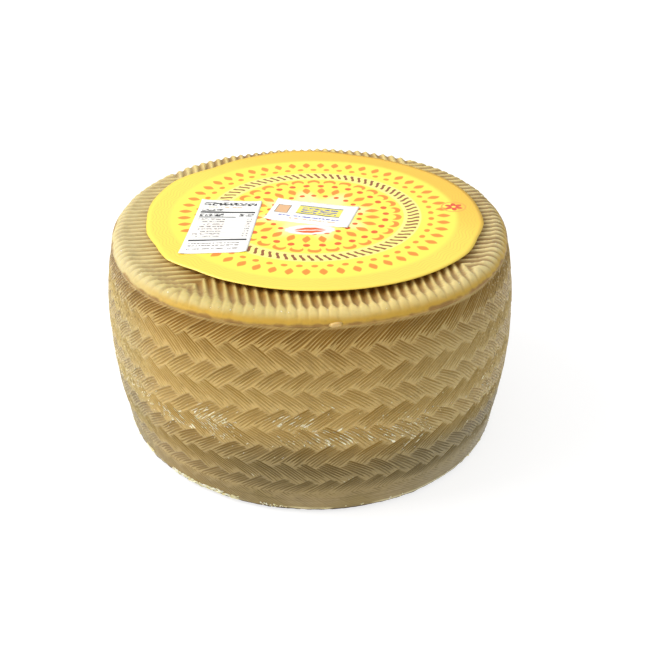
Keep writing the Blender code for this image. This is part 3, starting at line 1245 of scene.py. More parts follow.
@dataclass(frozen=True)
class BoardPrint:
    """The print of a ribbed board in four quarters, whose grooves meet along the diagonals.

    Attributes:
        height: of the face that the board lay on.
        up: 1 for the top face and -1 for the base.
        margin: the plain border between the grooves and the outline.
        lop: how much wider the border is at the front than at the sides, and narrower at the back.
        run_out: the length over which the grooves fade towards the border, and more so at the front.
        samples: how many lines of the mesh lie in a pitch, each with that many steps.
        crowding: how much closer its points lie towards the border than in the middle.
    """

    outline: WheelOutline
    height: float
    up: int
    margin: float
    lop: float = 0.0
    run_out: float = 8.2 * MM
    run_least: float = 0.25
    run_even: float = 0.3
    run_front: float = 0.7
    pitch: float = 4.1 * MM
    width: float = 4.0 * MM
    deepest: float = 1.35 * MM
    wear: Waver = Waver(0.3, 9 * MM, 2.0)
    turn: float = 8.3
    samples: int = 6
    steps: int = 14
    crowding: float = 1.6

    def depth(self, x: float, y: float) -> float:
        """Works out how deep the print is.

        Args:
            x: the distance to the right, in the frame.
            y: the distance to the back.

        Returns:
            The depth there.
        """
        x, y = x - self.outline.centre[0], y - self.outline.centre[1]
        turn = math.radians(self.turn)
        along, across = x * math.cos(turn) + y * math.sin(turn), y * math.cos(turn) - x * math.sin(turn)
        laps = min(abs(along), abs(across)) / self.pitch - 0.5
        off = abs(laps - round(laps)) * self.pitch
        angle = math.atan2(y, x)
        border = self.outline.side_radius(self.height) * self.outline.lobe(angle, self.height) - self.margin
        inwards = border + self.lop * math.sin(angle) - math.hypot(x, y)
        run_out = self.run_out * max(self.run_least, self.run_even - self.run_front * math.sin(angle))
        floor = self.deepest * min(1.0, max(0.0, inwards / run_out)) * (1 + self.wear.at((x, y, 0.0)))
        return max(0.0, floor - off * self.deepest / (self.width / 2))

    def point(self, draft: MeshDraft, quarter: int, out: float, across: float) -> int:
        """Adds a point of a quarter.

        Args:
            draft: the mesh that it joins.
            quarter: which of the four.
            out: its distance from the axis along the grooves.
            across: its distance across them.

        Returns:
            Its number.
        """
        turn = math.radians(self.turn + 90 * quarter)
        x = self.outline.centre[0] + out * math.cos(turn) - across * math.sin(turn)
        y = self.outline.centre[1] + out * math.sin(turn) + across * math.cos(turn)
        depth = self.depth(x, y)
        return draft.point((x, y, self.height - self.up * depth), depth / self.deepest)

    def disc(self, draft: MeshDraft, radius: float) -> list[Station]:
        """Adds the printed face out to a circle round the axis.

        Args:
            draft: the mesh that it joins.
            radius: of the circle.

        Returns:
            The stations of the circle.
        """
        corner = radius / math.sqrt(2)
        step = self.pitch / self.samples
        offsets = [step * i for i in range(1, int(corner / step))] + [corner]
        middle = Station(0.0, self.point(draft, 0, 0.0, 0.0))
        diagonals = [[Station(0.0, self.point(draft, q, o, o)) for o in offsets] for q in range(4)]
        ring: list[Station] = []
        for quarter in range(4):
            lines = [self.line(draft, quarter, -o, diagonals[quarter - 1][i], radius)
                     for i, o in enumerate(offsets)][::-1]
            lines.append(self.line(draft, quarter, 0.0, middle, radius))
            lines += [self.line(draft, quarter, o, diagonals[quarter][i], radius)
                      for i, o in enumerate(offsets)]
            for first, second in zip(lines, lines[1:]):
                draft.fill(first, second)
            ring += [line[-1] for line in lines[1:]]
        return [Station(self.outline.share_round(draft.points[s.index]), s.index) for s in ring]

    def line(self, draft: MeshDraft, quarter: int, across: float, start: Station,
             radius: float) -> list[Station]:
        """Adds one line along the grooves, from its start out to the circle.

        Args:
            draft: the mesh that it joins.
            quarter: which of the four.
            across: its distance from the middle of the quarter.
            start: its first station, which is there already.
            radius: of the circle.

        Returns:
            Its stations.
        """
        reach = math.sqrt(radius**2 - across**2)
        room = reach - abs(across)
        if room < 1e-6:
            return [start]
        shares = [1 - (1 - k / self.steps) ** self.crowding for k in range(1, self.steps + 1)]
        return [start] + [Station(share, self.point(draft, quarter, abs(across) + room * share, across))
                          for share in shares]


@dataclass
class CheeseWheel:
    """The cheese: two ribbed faces, a rolled rim, the plaited band and a smooth foot.

    Attributes:
        groove_bends: degrees of the rim's rounding between which the grooves come in.
        face_circle: how far out the meshes of the two faces go.
        roll: how far the rim stands up over the face, more so at the front.
        ledge: the rings under the rim, by their distances in from the side and down from the top.
        lip: how far the torn lip at the base stands out, round that bend of the rounding.
    """

    outline: WheelOutline
    rind: WaxedRind = WaxedRind()
    draft: MeshDraft = field(default_factory=MeshDraft)
    rim_columns: int = 840
    foot_columns: int = 480
    shoulder_round: float = 5.4 * MM
    rim_wave: Waver = Waver(0.3 * MM, 12 * MM, 4.0)
    groove_bends: Pair = (5.0, 55.0)
    base_round: float = 4.0 * MM
    face_circle: float = 83.5 * MM
    roll: float = 0.4 * MM
    roll_even: float = 0.6
    roll_front: float = 0.8
    ledge: tuple[Pair, ...] = ((0.45 * MM, 4.1 * MM), (0.8 * MM, 4.5 * MM), (0.95 * MM, 4.9 * MM))
    ledge_wave: Waver = Waver(0.35 * MM, 11 * MM, 6.0)
    foot_wave: Waver = Waver(0.35 * MM, 14 * MM, 7.0)
    lip: float = 0.5 * MM
    lip_bend: float = 34.0
    lip_spread: float = 12.0
    lip_least: float = 0.55
    lip_tear: Waver = Waver(1.0, 3 * MM, 9.0)

    def __post_init__(self) -> None:
        """Makes the prints of the two boards and the band."""
        self.top = BoardPrint(self.outline, self.outline.height, 1, margin=0.1 * MM, lop=1.6 * MM)
        self.base = BoardPrint(self.outline, 0.0, -1, margin=8.0 * MM)
        self.plait = PlaitPrint(self.outline, self.draft)

    def rim_point(self, angle: float, out: float, bend: float) -> tuple[Point, float]:
        """Finds a point of the rolled rim.

        Args:
            angle: round the wheel, in radians.
            out: share of the way over the flat, from the face's circle to where the rounding starts.
            bend: degrees above level on the rounding, 90 on the flat.

        Returns:
            The point, and how deep in a groove it lies.
        """
        outline, rise = self.outline, math.radians(bend)
        start = outline.side_radius(outline.height) - self.shoulder_round
        start *= outline.lobe(angle, outline.height)
        flat = self.face_circle + (start - self.face_circle) * out
        x, y, z = outline.place(angle, flat, outline.height, 0.0)
        round_x, round_y, _ = outline.place(angle, flat + 0.5 * self.shoulder_round * math.cos(rise), z, 0.0)
        low, high = self.groove_bends
        depth = self.top.depth(round_x, round_y) * eased((bend - low) / (high - low))
        high = max(0.0, self.roll_even - self.roll_front * math.sin(angle))
        bead = self.roll * eased(out) * math.sin(rise) * high
        wave = self.rim_wave.at((x, y, bend * 0.05 * MM)) * eased(out)
        radius = flat + (self.shoulder_round + wave - depth) * math.cos(rise)
        sunk = self.shoulder_round * (1 - math.sin(rise)) + depth * math.sin(rise) - bead
        sunk -= wave * math.sin(rise)
        return outline.place(angle, radius, outline.height - sunk, 0.0), depth / self.top.deepest

    def ledge_point(self, angle: float, inset: float, drop: float) -> Point:
        """Finds a point under the rolled rim.

        Args:
            angle: round the wheel, in radians.
            inset: its distance in from the side.
            drop: its distance down from the top.

        Returns:
            The point.
        """
        z = self.outline.height - drop
        x, y, _ = self.outline.place(angle, self.outline.side_radius(z), z)
        z -= self.ledge_wave.at((x, y, 0.0))
        return self.outline.place(angle, self.outline.side_radius(z) - inset, z)

    def foot_point(self, angle: float, drop: float, bend: float) -> Point:
        """Finds a point of the smooth foot.

        Args:
            angle: round the wheel, in radians.
            drop: share of the way down from the band's last row to where the rounding starts.
            bend: degrees below level on the rounding.

        Returns:
            The point.
        """
        outline, dip = self.outline, math.radians(bend)
        band_foot = outline.height - self.plait.top_drop - self.plait.rows * self.plait.row_pitch
        z = band_foot + (self.base_round - band_foot) * drop
        x, y, _ = outline.place(angle, outline.side_radius(z), z)
        inset = self.plait.inset * (1 - drop) - self.foot_wave.at((x, y, z))
        edge = self.lip * math.exp(-(((bend - self.lip_bend) / self.lip_spread) ** 2))
        edge *= max(0.0, self.lip_least + self.lip_tear.at((x, y, bend * MM)))
        radius = outline.side_radius(z) - inset * math.cos(dip) - self.base_round + edge
        radius += self.base_round * math.cos(dip)
        return outline.place(angle, radius, z - self.base_round * math.sin(dip))

    def rings(self, columns: int, rules: Sequence[tuple]) -> list[list[Station]]:
        """Adds closed rings and fills the bands between them.

        Args:
            columns: how many points each ring has.
            rules: for each ring, a function and what it takes after the angle.

        Returns:
            The first and the last ring.
        """
        made = []
        for rule, *given in rules:
            ring = []
            for i in range(columns):
                found = rule(math.tau * i / columns, *given)
                place, hollow = found if isinstance(found[0], tuple) else (found, 0.0)
                ring.append(Station(i / columns, self.draft.point(place, hollow)))
            made.append(ring)
        for first, second in zip(made, made[1:]):
            self.draft.bridge(first, second)
        return [made[0], made[-1]]

    def build(self) -> bpy.types.Object:
        """Builds the whole wheel as one closed mesh and puts it in the solid's place."""
        draft = self.draft
        self.plait.build()
        flats = [(self.rim_point, share, 90.0) for share in (0.35, 0.7, 1.0)]
        bends = [(self.rim_point, 1.0, 90.0 - 10 * i) for i in range(1, 8)]
        ledge = [(self.ledge_point, inset, drop) for inset, drop in self.ledge]
        rim = self.rings(self.rim_columns, flats + bends + ledge)
        draft.bridge(self.top.disc(draft, self.face_circle), rim[0])
        draft.bridge(rim[1], self.plait.border(0))
        foot = [(self.foot_point, share, 0.0) for share in (0.3, 0.65, 1.0)]
        foot += [(self.foot_point, 1.0, bend) for bend in (14.0, 24.0, 34.0, 44.0, 60.0, 75.0, 90.0)]
        foot = self.rings(self.foot_columns, foot)
        draft.bridge(self.plait.border(self.plait.rows - 1), foot[0])
        draft.bridge(foot[1], self.base.disc(draft, self.face_circle))
        wheel = draft.made("pressed_wheel", self.rind.material(self.plait))
        return settled(wheel, "rind", "cheese_wheel")


def settled(piece: bpy.types.Object, slot: str, *nodes: str) -> bpy.types.Object:
    """Makes a piece ride on the body and hides the solids that it stands for.

    Args:
        piece: the piece.
        slot: not used.
        *nodes: the solids that it stands for.

    Returns:
        The piece.
    """
    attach(piece, BODY)
    if nodes:
        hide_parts(*nodes)
    log.info("%s: %d faces", piece.name, len(piece.data.polygons))
    return piece


# The paper


class Motif(Enum):
    """The small shapes that the label's rings repeat."""

    LEAF = "leaf"
    DOT = "dot"
    ROPE = "rope"
    CRESCENT = "crescent"


@dataclass(frozen=True)
class MotifRing:
    """A ring of equal motifs round the label's middle.

    Attributes:
        width: of a motif, round the ring.
        height: of a motif, outwards.
        turn: of the whole ring, in motifs.
    """

    motif: Motif
    radius: float
    count: int
    width: float
    height: float
    ink: Colour
    turn: float = 0.0


ORANGE = tone(250, 146, 40)
DEEP_ORANGE = tone(236, 102, 30)
BROWN = tone(150, 84, 38)


@dataclass(frozen=True)
class LabelPrint:
    """The label's print: a yellow field with rings of small motifs inside an orange-yellow border."""

    yellow: Colour = tone(254, 240, 86)
    pale: Colour = tone(255, 247, 168)
    border: Colour = tone(255, 225, 86)
    border_deep: Colour = tone(254, 200, 62)
    line: Colour = tone(250, 176, 70)
    red: Colour = tone(232, 88, 52)
    white: Colour = tone(246, 246, 240)
    middle: Fade = Fade(23 * MM, 12 * MM)
    middle_petals: int = 8
    petal_length: float = 9 * MM
    rope_inside: Fade = Fade(41.6 * MM, 42.2 * MM, 0.55)
    rope_outside: Fade = Fade(50.4 * MM, 49.8 * MM)
    border_starts: Fade = Fade(65.0 * MM, 68.0 * MM)
    border_deepens: Fade = Fade(-10 * MM, 80 * MM, sway=50 * MM)
    wave_count: int = 36
    wave_height: float = 0.9 * MM
    line_pitch: float = 1.6 * MM
    lines: Fade = Fade(0.55, 0.95, 0.35)
    lines_start: Fade = Fade(67.5 * MM, 68.5 * MM)
    lines_end: Fade = Fade(76.0 * MM, 75.0 * MM)
    flower_at: Pair = (66.0 * MM, 6.0 * MM)
    sprig_at: Pair = (-2.0 * MM, -17.0 * MM)
    rings: tuple[MotifRing, ...] = (
        MotifRing(Motif.LEAF, 60.4 * MM, 52, 3.9 * MM, 6.6 * MM, ORANGE),
        MotifRing(Motif.DOT, 54.6 * MM, 52, 3.0 * MM, 2.6 * MM, ORANGE, 0.5),
        MotifRing(Motif.ROPE, 46.4 * MM, 80, 1.5 * MM, 5.4 * MM, BROWN),
        MotifRing(Motif.CRESCENT, 38.2 * MM, 30, 6.2 * MM, 5.4 * MM, ORANGE),
        MotifRing(Motif.DOT, 33.6 * MM, 30, 3.2 * MM, 3.0 * MM, DEEP_ORANGE, 0.5),
        MotifRing(Motif.LEAF, 27.4 * MM, 24, 3.9 * MM, 7.2 * MM, ORANGE),
        MotifRing(Motif.DOT, 21.6 * MM, 24, 2.6 * MM, 2.6 * MM, DEEP_ORANGE, 0.5),
    )

    def mark(self, ring: MotifRing, turned: Signal, out: Signal) -> Signal:
        """Draws the motifs of a ring.

        Args:
            ring: the ring.
            turned: how far round the label, from 0 to 1.
            out: the distance from its middle.

        Returns:
            1 on the motifs and 0 elsewhere.
        """
        cell = math.tau * ring.radius / ring.count
        x = ((turned * float(ring.count) + ring.turn).fract() - 0.5) * cell
        y = out - ring.radius
        a, b = x * (2 / ring.width), y * (2 / ring.height)
        if ring.motif is Motif.LEAF:
            return (a.size() + b * b * 0.8 + b.size() * 0.2).ramp(1.1, 0.8)
        if ring.motif is Motif.ROPE:
            bent = (a - b * 1.1 - (b * 2.6).sine() * 0.55).size()
            return bent.ramp(1.25, 0.75) * b.size().ramp(1.1, 0.9)
        whole = (a * a + b * b).ramp(1.15, 0.85)
        if ring.motif is Motif.CRESCENT:
            bite = b + 0.75
            return whole * (a * a * 1.3 + bite * bite * 1.3).ramp(0.8, 1.05)
        return whole

    def material(self, label: PaperLabel) -> bpy.types.Material:
        """Makes the label's material.

        Args:
            label: the label, round whose middle the print is drawn.

        Returns:
            The material.
        """
        s = Sketch("printed_label", roughness=0.38)
        place = s.place()
        x, y, _ = s.split(place)
        x, y = x - label.centre[0], y - label.centre[1]
        out = s.distance(x, y)
        turned = s.turned(x, y) / math.tau + 0.5
        petals = (turned * (math.tau * self.middle_petals)).sine() * 0.5 + 0.5
        colour = s.mix((out - petals * self.petal_length).fade(self.middle), self.yellow, self.pale)
        colour = s.mix(out.fade(self.rope_inside) * out.fade(self.rope_outside), colour, self.pale)
        for ring in self.rings:
            colour = s.mix(self.mark(ring, turned, out), colour, ring.ink)
        deep = (x * 0.75 + y).fade(self.border_deepens, s.noise(place, 30.0))
        colour = s.mix(out.fade(self.border_starts), colour, s.mix(deep, self.border, self.border_deep))
        colour = s.mix(self.guilloche(turned, out), colour, self.line)
        colour = self.flower(s, colour, x, y)
        colour = self.sprig(s, colour, x, y)
        s.bump(s.noise(place, 900.0), 0.02 * MM)
        s.coat(0.15, 0.3)
        return s.finish(colour)

    def guilloche(self, turned: Signal, out: Signal) -> Signal:
        """Draws fine wavy lines in the border.

        Args:
            turned: how far round the label, from 0 to 1.
            out: the distance from its middle.

        Returns:
            How strong they are.
        """
        waved = out + (turned * (math.tau * self.wave_count)).sine() * self.wave_height
        lines = (waved * (math.tau / self.line_pitch)).sine().fade(self.lines)
        return lines * out.fade(self.lines_start) * out.fade(self.lines_end)

    def flower(self, s: Sketch, colour: Signal, x: Signal, y: Signal) -> Signal:
        """Adds a small six-petalled flower in a ring near the right edge.

        Args:
            s: the material being drawn.
            colour: the print so far.
            x: the distance to the right of the label's middle.
            y: the distance to the back of it.

        Returns:
            The print with the flower.
        """
        x, y = x - self.flower_at[0], y - self.flower_at[1]
        out = s.distance(x, y)
        petals = (s.turned(x, y) * 3.0).sine().size() * (2.2 * MM)
        colour = s.mix((out - 5.6 * MM).size().ramp(0.5 * MM, 0.25 * MM), colour, self.line)
        colour = s.mix((out - petals).ramp(2.4 * MM, 1.9 * MM), colour, self.red)
        return s.mix(out.ramp(1.2 * MM, 0.8 * MM), colour, self.yellow)

    def sprig(self, s: Sketch, colour: Signal, x: Signal, y: Signal) -> Signal:
        """Adds a small white scalloped oval with an orange leaf, in front of the middle.

        Args:
            s: the material being drawn.
            colour: the print so far.
            x: the distance to the right of the label's middle.
            y: the distance to the back of it.

        Returns:
            The print with the oval.
        """
        x, y = x - self.sprig_at[0], y - self.sprig_at[1]
        a, b = x / (11.0 * MM), y / (5.0 * MM)
        scallops = (s.turned(a, b) * 7.0).sine().size() * 0.12
        colour = s.mix((a * a + b * b - scallops).ramp(1.05, 0.95), colour, self.white)
        across, tall = x / (8.0 * MM), ((y + 0.6 * MM) / (3.0 * MM)).size()
        leaf = (across * across + tall).ramp(1.05, 0.9) * tall.ramp(0.1, 0.2)
        return s.mix(leaf, colour, DEEP_ORANGE)


@dataclass
class PaperLabel:
    """The round label, which lies on the ribs and curls up at its edge.

    Attributes:
        offset: of its middle from the wheel's axis.
        waves: of its edge, as (count, share of the radius, degrees of one crest).
        cuts: blunt corners and flats where it was cut unevenly, as (degrees, how far out or in).
        cut_spread: how far one of those goes to either side, in degrees.
        edge_lift: how far the edge curls up, more so at the front.
        dent: how much of the grooves under it shows through.
        gap: between the wheel and the label.
    """

    wheel: CheeseWheel
    finish: LabelPrint = LabelPrint()
    offset: Pair = (1.6 * MM, 2.1 * MM)
    radius: float = 78.3 * MM
    waves: tuple[Lobe, ...] = (
        (2, 0.0127, -63.0), (3, 0.0068, -30.0), (4, 0.0066, 8.0), (5, 0.0070, 20.0), (6, 0.0073, -23.0))
    cuts: tuple[Pair, ...] = (
        (-164, 1.0 * MM), (-142, 2.0 * MM), (-132, -0.9 * MM), (-32, 0.6 * MM), (-22, -0.7 * MM),
        (-10, 0.7 * MM), (74, -1.0 * MM), (97, 0.7 * MM), (132, -1.4 * MM), (149, 0.8 * MM))
    cut_spread: float = 12.0
    edge_lift: float = 0.8 * MM
    front_lift: float = 0.6 * MM
    ripple: float = 0.25 * MM
    crease: Waver = Waver(0.12 * MM, 18 * MM, 11.0)
    dent: float = 0.1
    paper: float = 0.25 * MM
    gap: float = 0.3 * MM
    rings: int = 36
    sides: int = 288

    def __post_init__(self) -> None:
        """Works out where the label's middle lies in the frame."""
        axis = self.wheel.outline.centre
        self.centre = (axis[0] + self.offset[0], axis[1] + self.offset[1])

    def under(self, x: float, y: float) -> float:
        """Works out how high the lower face lies.

        Args:
            x: the distance to the right of the label's middle.
            y: the distance to the back of it.

        Returns:
            The height there.
        """
        out, angle = math.hypot(x, y) / self.radius, math.atan2(y, x)
        curl = (self.edge_lift - self.front_lift * math.sin(angle)) * out**3
        wave = self.ripple * out**2 * (math.cos(5 * angle + 0.6) + 0.6 * math.cos(3 * angle - 1.1))
        lift = max(0.0, curl + wave + self.crease.at((x, y, 0.0)))
        groove = self.wheel.top.depth(x + self.centre[0], y + self.centre[1])
        return self.wheel.outline.height + self.gap + lift - self.dent * groove * (1 - out**6)

    def stretch(self, angle: float, out: float) -> float:
        """Works out how much larger than a circle the label is.

        Args:
            angle: the direction, in radians.
            out: the share of the way out, since its middle is even.

        Returns:
            The share of the radius.
        """
        cuts = 0.0
        for crest, pull in self.cuts:
            off = abs((math.degrees(angle) - crest + 180) % 360 - 180)
            cuts += pull * max(0.0, 1 - off / self.cut_spread)
        return 1 + lobed(angle, self.waves) * out + cuts / self.radius * out**4

    def build(self) -> bpy.types.Object:
        """Builds the label as a thin closed sheet."""
        draft = MeshDraft()
        faces = []
        for rise in (0.0, self.paper):
            middle = draft.point((*self.centre, self.under(0.0, 0.0) + rise))
            rings = []
            for share in (ring / self.rings for ring in range(1, self.rings + 1)):
                rings.append([])
                for i in range(self.sides):
                    angle = math.tau * i / self.sides
                    radius = self.radius * share * self.stretch(angle, share)
                    x, y = radius * math.cos(angle), radius * math.sin(angle)
                    index = draft.point((x + self.centre[0], y + self.centre[1], self.under(x, y) + rise))
                    rings[-1].append(Station(i / self.sides, index))
            for first, second in zip(rings[0], rings[0][1:] + rings[0][:1]):
                draft.face(Station(0.0, middle), first, second)
            for first, second in zip(rings, rings[1:]):
                draft.bridge(first, second)
            faces.append(rings[-1])
        draft.bridge(*faces)
        return settled(draft.made("round_label", self.finish.material(self)), "label_paper", "top_label")


@dataclass(frozen=True)
class Bar:
    """A rectangle printed on a sticker; lengths in millimetres from the sticker's middle.

    Attributes:
        x: its middle, to the right.
        y: its middle, towards the top.
        broken: the length of the dashes that a line of small print breaks into, or 0 for a solid bar.
    """

    x: float
    y: float
    width: float
    height: float
    ink: Colour
    broken: float = 0.0


BLACK = tone(38, 36, 40)
GREY = tone(120, 104, 96)
TAN = tone(232, 186, 138)
BLUE = tone(70, 84, 190)
PALE_YELLOW = tone(250, 236, 110)


def table_bars() -> tuple[Bar, ...]:
    """The facts sticker's print: a heading, rules and lines of small print, all as dashes."""
    full = 25.6
    bars = [Bar(0.0, 24.6, 25.0, 3.4, BLACK, 1.7), Bar(-3.0, 21.0, 18.0, 0.9, TAN, 1.2)]
    bars += [Bar(-7.5, 17.8, 10.0, 2.2, BLACK, 1.6), Bar(0.0, 15.4, full, 1.6, BLACK)]
    bars += [Bar(-7.0, 12.2, 11.0, 2.8, BLACK, 1.7), Bar(9.2, 12.2, 6.6, 3.0, BLACK, 1.9)]
    bars += [Bar(-4.0, 9.9, 17.0, 0.9, BLACK)]
    for number in range(8):
        y = 7.6 - 2.7 * number
        indent = 1.6 * (number % 3)
        bars.append(Bar(-6.2 + indent / 2, y, 12.4 - indent, 1.0, GREY, 1.1))
        bars.append(Bar(11.2, y, 2.4, 1.0, GREY, 0.9))
        bars.append(Bar(0.0, y - 1.35, full, 0.22, TAN))
    bars += [Bar(0.0, -15.2, full, 1.5, BLACK)]
    bars += [Bar(-1.0, y, 22.0, 0.9, GREY, 1.2) for y in (-18.4, -20.8, -24.2)]
    return tuple(bars)


def centre_bars() -> tuple[Bar, ...]:
    """The middle sticker's print: a yellow block with blue lines, a tan tablet and small print."""
    bars = [Bar(3.0, 2.6, 21.0, 8.0, PALE_YELLOW)]
    bars += [Bar(3.0, y, 21.0, 0.7, BLACK) for y in (7.0, -1.7)]
    bars += [Bar(3.0, y, 17.0, 1.2, BLUE, 1.8) for y in (4.6, 2.4, 0.3)]
    bars += [Bar(-14.6, 1.6, 6.4, 8.8, BLACK), Bar(-14.6, 1.6, 5.8, 8.2, TAN)]
    bars += [Bar(0.0, -5.2, 30.0, 1.0, BLUE, 1.4), Bar(2.0, -7.8, 22.0, 1.0, TAN, 1.6)]
    return tuple(bars)


@dataclass(frozen=True)
class StickerPrint:
    """White sticker paper with bars and dashes printed on it, whose softness is in millimetres."""

    name: str
    bars: tuple[Bar, ...]
    white: Colour = tone(252, 251, 247)
    soft: float = 0.12
    dashes: Fade = Fade(0.42, 0.52)

    def material(self, sticker: PaperSticker) -> bpy.types.Material:
        """Makes the sticker's material.

        Args:
            sticker: the sticker, in whose directions the print is drawn.

        Returns:
            The material.
        """
        s = Sketch(self.name, roughness=0.4)
        place = s.place()
        x, y, _ = s.split(place)
        x, y = (x - sticker.middle[0]) / MM, (y - sticker.middle[1]) / MM
        cosine, sine = math.cos(math.radians(sticker.turn)), math.sin(math.radians(sticker.turn))
        a, b = x * cosine + y * sine, y * cosine - x * sine
        slope = sticker.askew / sticker.width
        b = b - a * slope * (0.5 - b * (MM / sticker.height))
        colour: Input = self.white
        for bar in self.bars:
            colour = s.mix(self.mask(s, bar, a, b), colour, bar.ink)
        s.bump(s.noise(place, 900.0), 0.015 * MM)
        return s.finish(colour)

    def mask(self, s: Sketch, bar: Bar, a: Signal, b: Signal) -> Signal:
        """Finds where a bar is printed.

        Args:
            s: the material being drawn.
            bar: the bar.
            a: the distance across the sticker, in millimetres from its middle.
            b: the distance up it.

        Returns:
            1 on the bar and 0 elsewhere.
        """
        wide = (a - bar.x).size().ramp(bar.width / 2 + self.soft, bar.width / 2 - self.soft)
        high = (b - bar.y).size().ramp(bar.height / 2 + self.soft, max(0.0, bar.height / 2 - self.soft))
        if not bar.broken:
            return wide * high
        dashes = s.noise(s.join(a / bar.broken, (b - bar.y) * 0.9, bar.y * 3.7), 1.0, 1.0)
        return wide * high * dashes.fade(self.dashes)


@dataclass
class PaperSticker:
    """A small rectangular sticker that lies on the label.

    Attributes:
        node: the solid that it stands for.
        at: its middle, measured from the wheel's axis.
        turn: of the sticker, in degrees.
        askew: how much longer its left side was cut than its right.
        curl: how far its corners may stand up.
        curl_start: where they start to, by the sum of the shares across and up.
    """

    name: str
    node: str
    label: PaperLabel
    finish: StickerPrint
    at: Pair
    width: float
    height: float
    turn: float
    askew: float = 0.0
    paper: float = 0.12 * MM
    gap: float = 0.06 * MM
    curl: float = 0.45 * MM
    curl_start: float = 0.82
    cell: float = 1.0 * MM

    def __post_init__(self) -> None:
        """Works out where the sticker's middle lies in the frame."""
        axis = self.label.wheel.outline.centre
        self.middle = (axis[0] + self.at[0], axis[1] + self.at[1])

    def point(self, draft: MeshDraft, a: float, b: float, rise: float) -> int:
        """Adds a point.

        Args:
            draft: the mesh that it joins.
            a: its share of the way across, from -0.5 to 0.5.
            b: its share of the way up.
            rise: its height over the lower face.

        Returns:
            Its number.
        """
        turn = math.radians(self.turn)
        along, up = a * self.width, b * self.height + self.askew * a * (0.5 - b)
        x = self.middle[0] + along * math.cos(turn) - up * math.sin(turn)
        y = self.middle[1] + along * math.sin(turn) + up * math.cos(turn)
        centre = self.label.centre
        low = self.label.under(x - centre[0], y - centre[1]) + self.label.paper + self.gap
        curl = 16.67 * MM * max(0.0, abs(a) + abs(b) - self.curl_start) ** 2
        return draft.point((x, y, low + rise + min(curl, self.curl)))

    def build(self) -> bpy.types.Object:
        """Builds the sticker as a thin closed sheet."""
        draft = MeshDraft()
        columns, rows = round(self.width / self.cell), round(self.height / self.cell)
        edges = []
        for rise in (0.0, self.paper):
            lines = [[Station(j / rows, self.point(draft, i / columns - 0.5, j / rows - 0.5, rise))
                      for j in range(rows + 1)] for i in range(columns + 1)]
            for first, second in zip(lines, lines[1:]):
                draft.fill(first, second)
            border = lines[0][:-1] + [line[-1] for line in lines[:-1]]
            border += lines[-1][:0:-1] + [line[0] for line in lines[:0:-1]]
            edges.append([Station(i / len(border), station.index) for i, station in enumerate(border)])
        draft.bridge(*edges)
        return settled(draft.made(self.name, self.finish.material(self)), "sticker_paper", self.node)


# Torn scales and painted glints


@dataclass(frozen=True)
class PaleCurdAndGlint:
    """Dry pale curd and wax, as on the torn scales, whose pale also serves as painted highlight on the rim
    and band; the large chip is tan.
    """

    pale: Colour = tone(236, 220, 160)
    white: Colour = tone(252, 246, 214)
    tan: Colour = tone(214, 180, 112)

    def material(self) -> bpy.types.Material:
        """The scales' material."""
        s = Sketch("pale_curd_and_glints", roughness=0.35, subsurface=0.3)
        place = s.place()
        colour = s.mix(s.noise(place, 300.0).ramp(0.4, 0.6), self.pale, self.white)
        colour = s.mix(s.attribute("hollow"), colour, self.tan)
        s.bump(s.noise(place, 1400.0), 0.05 * MM)
        return s.finish(colour)


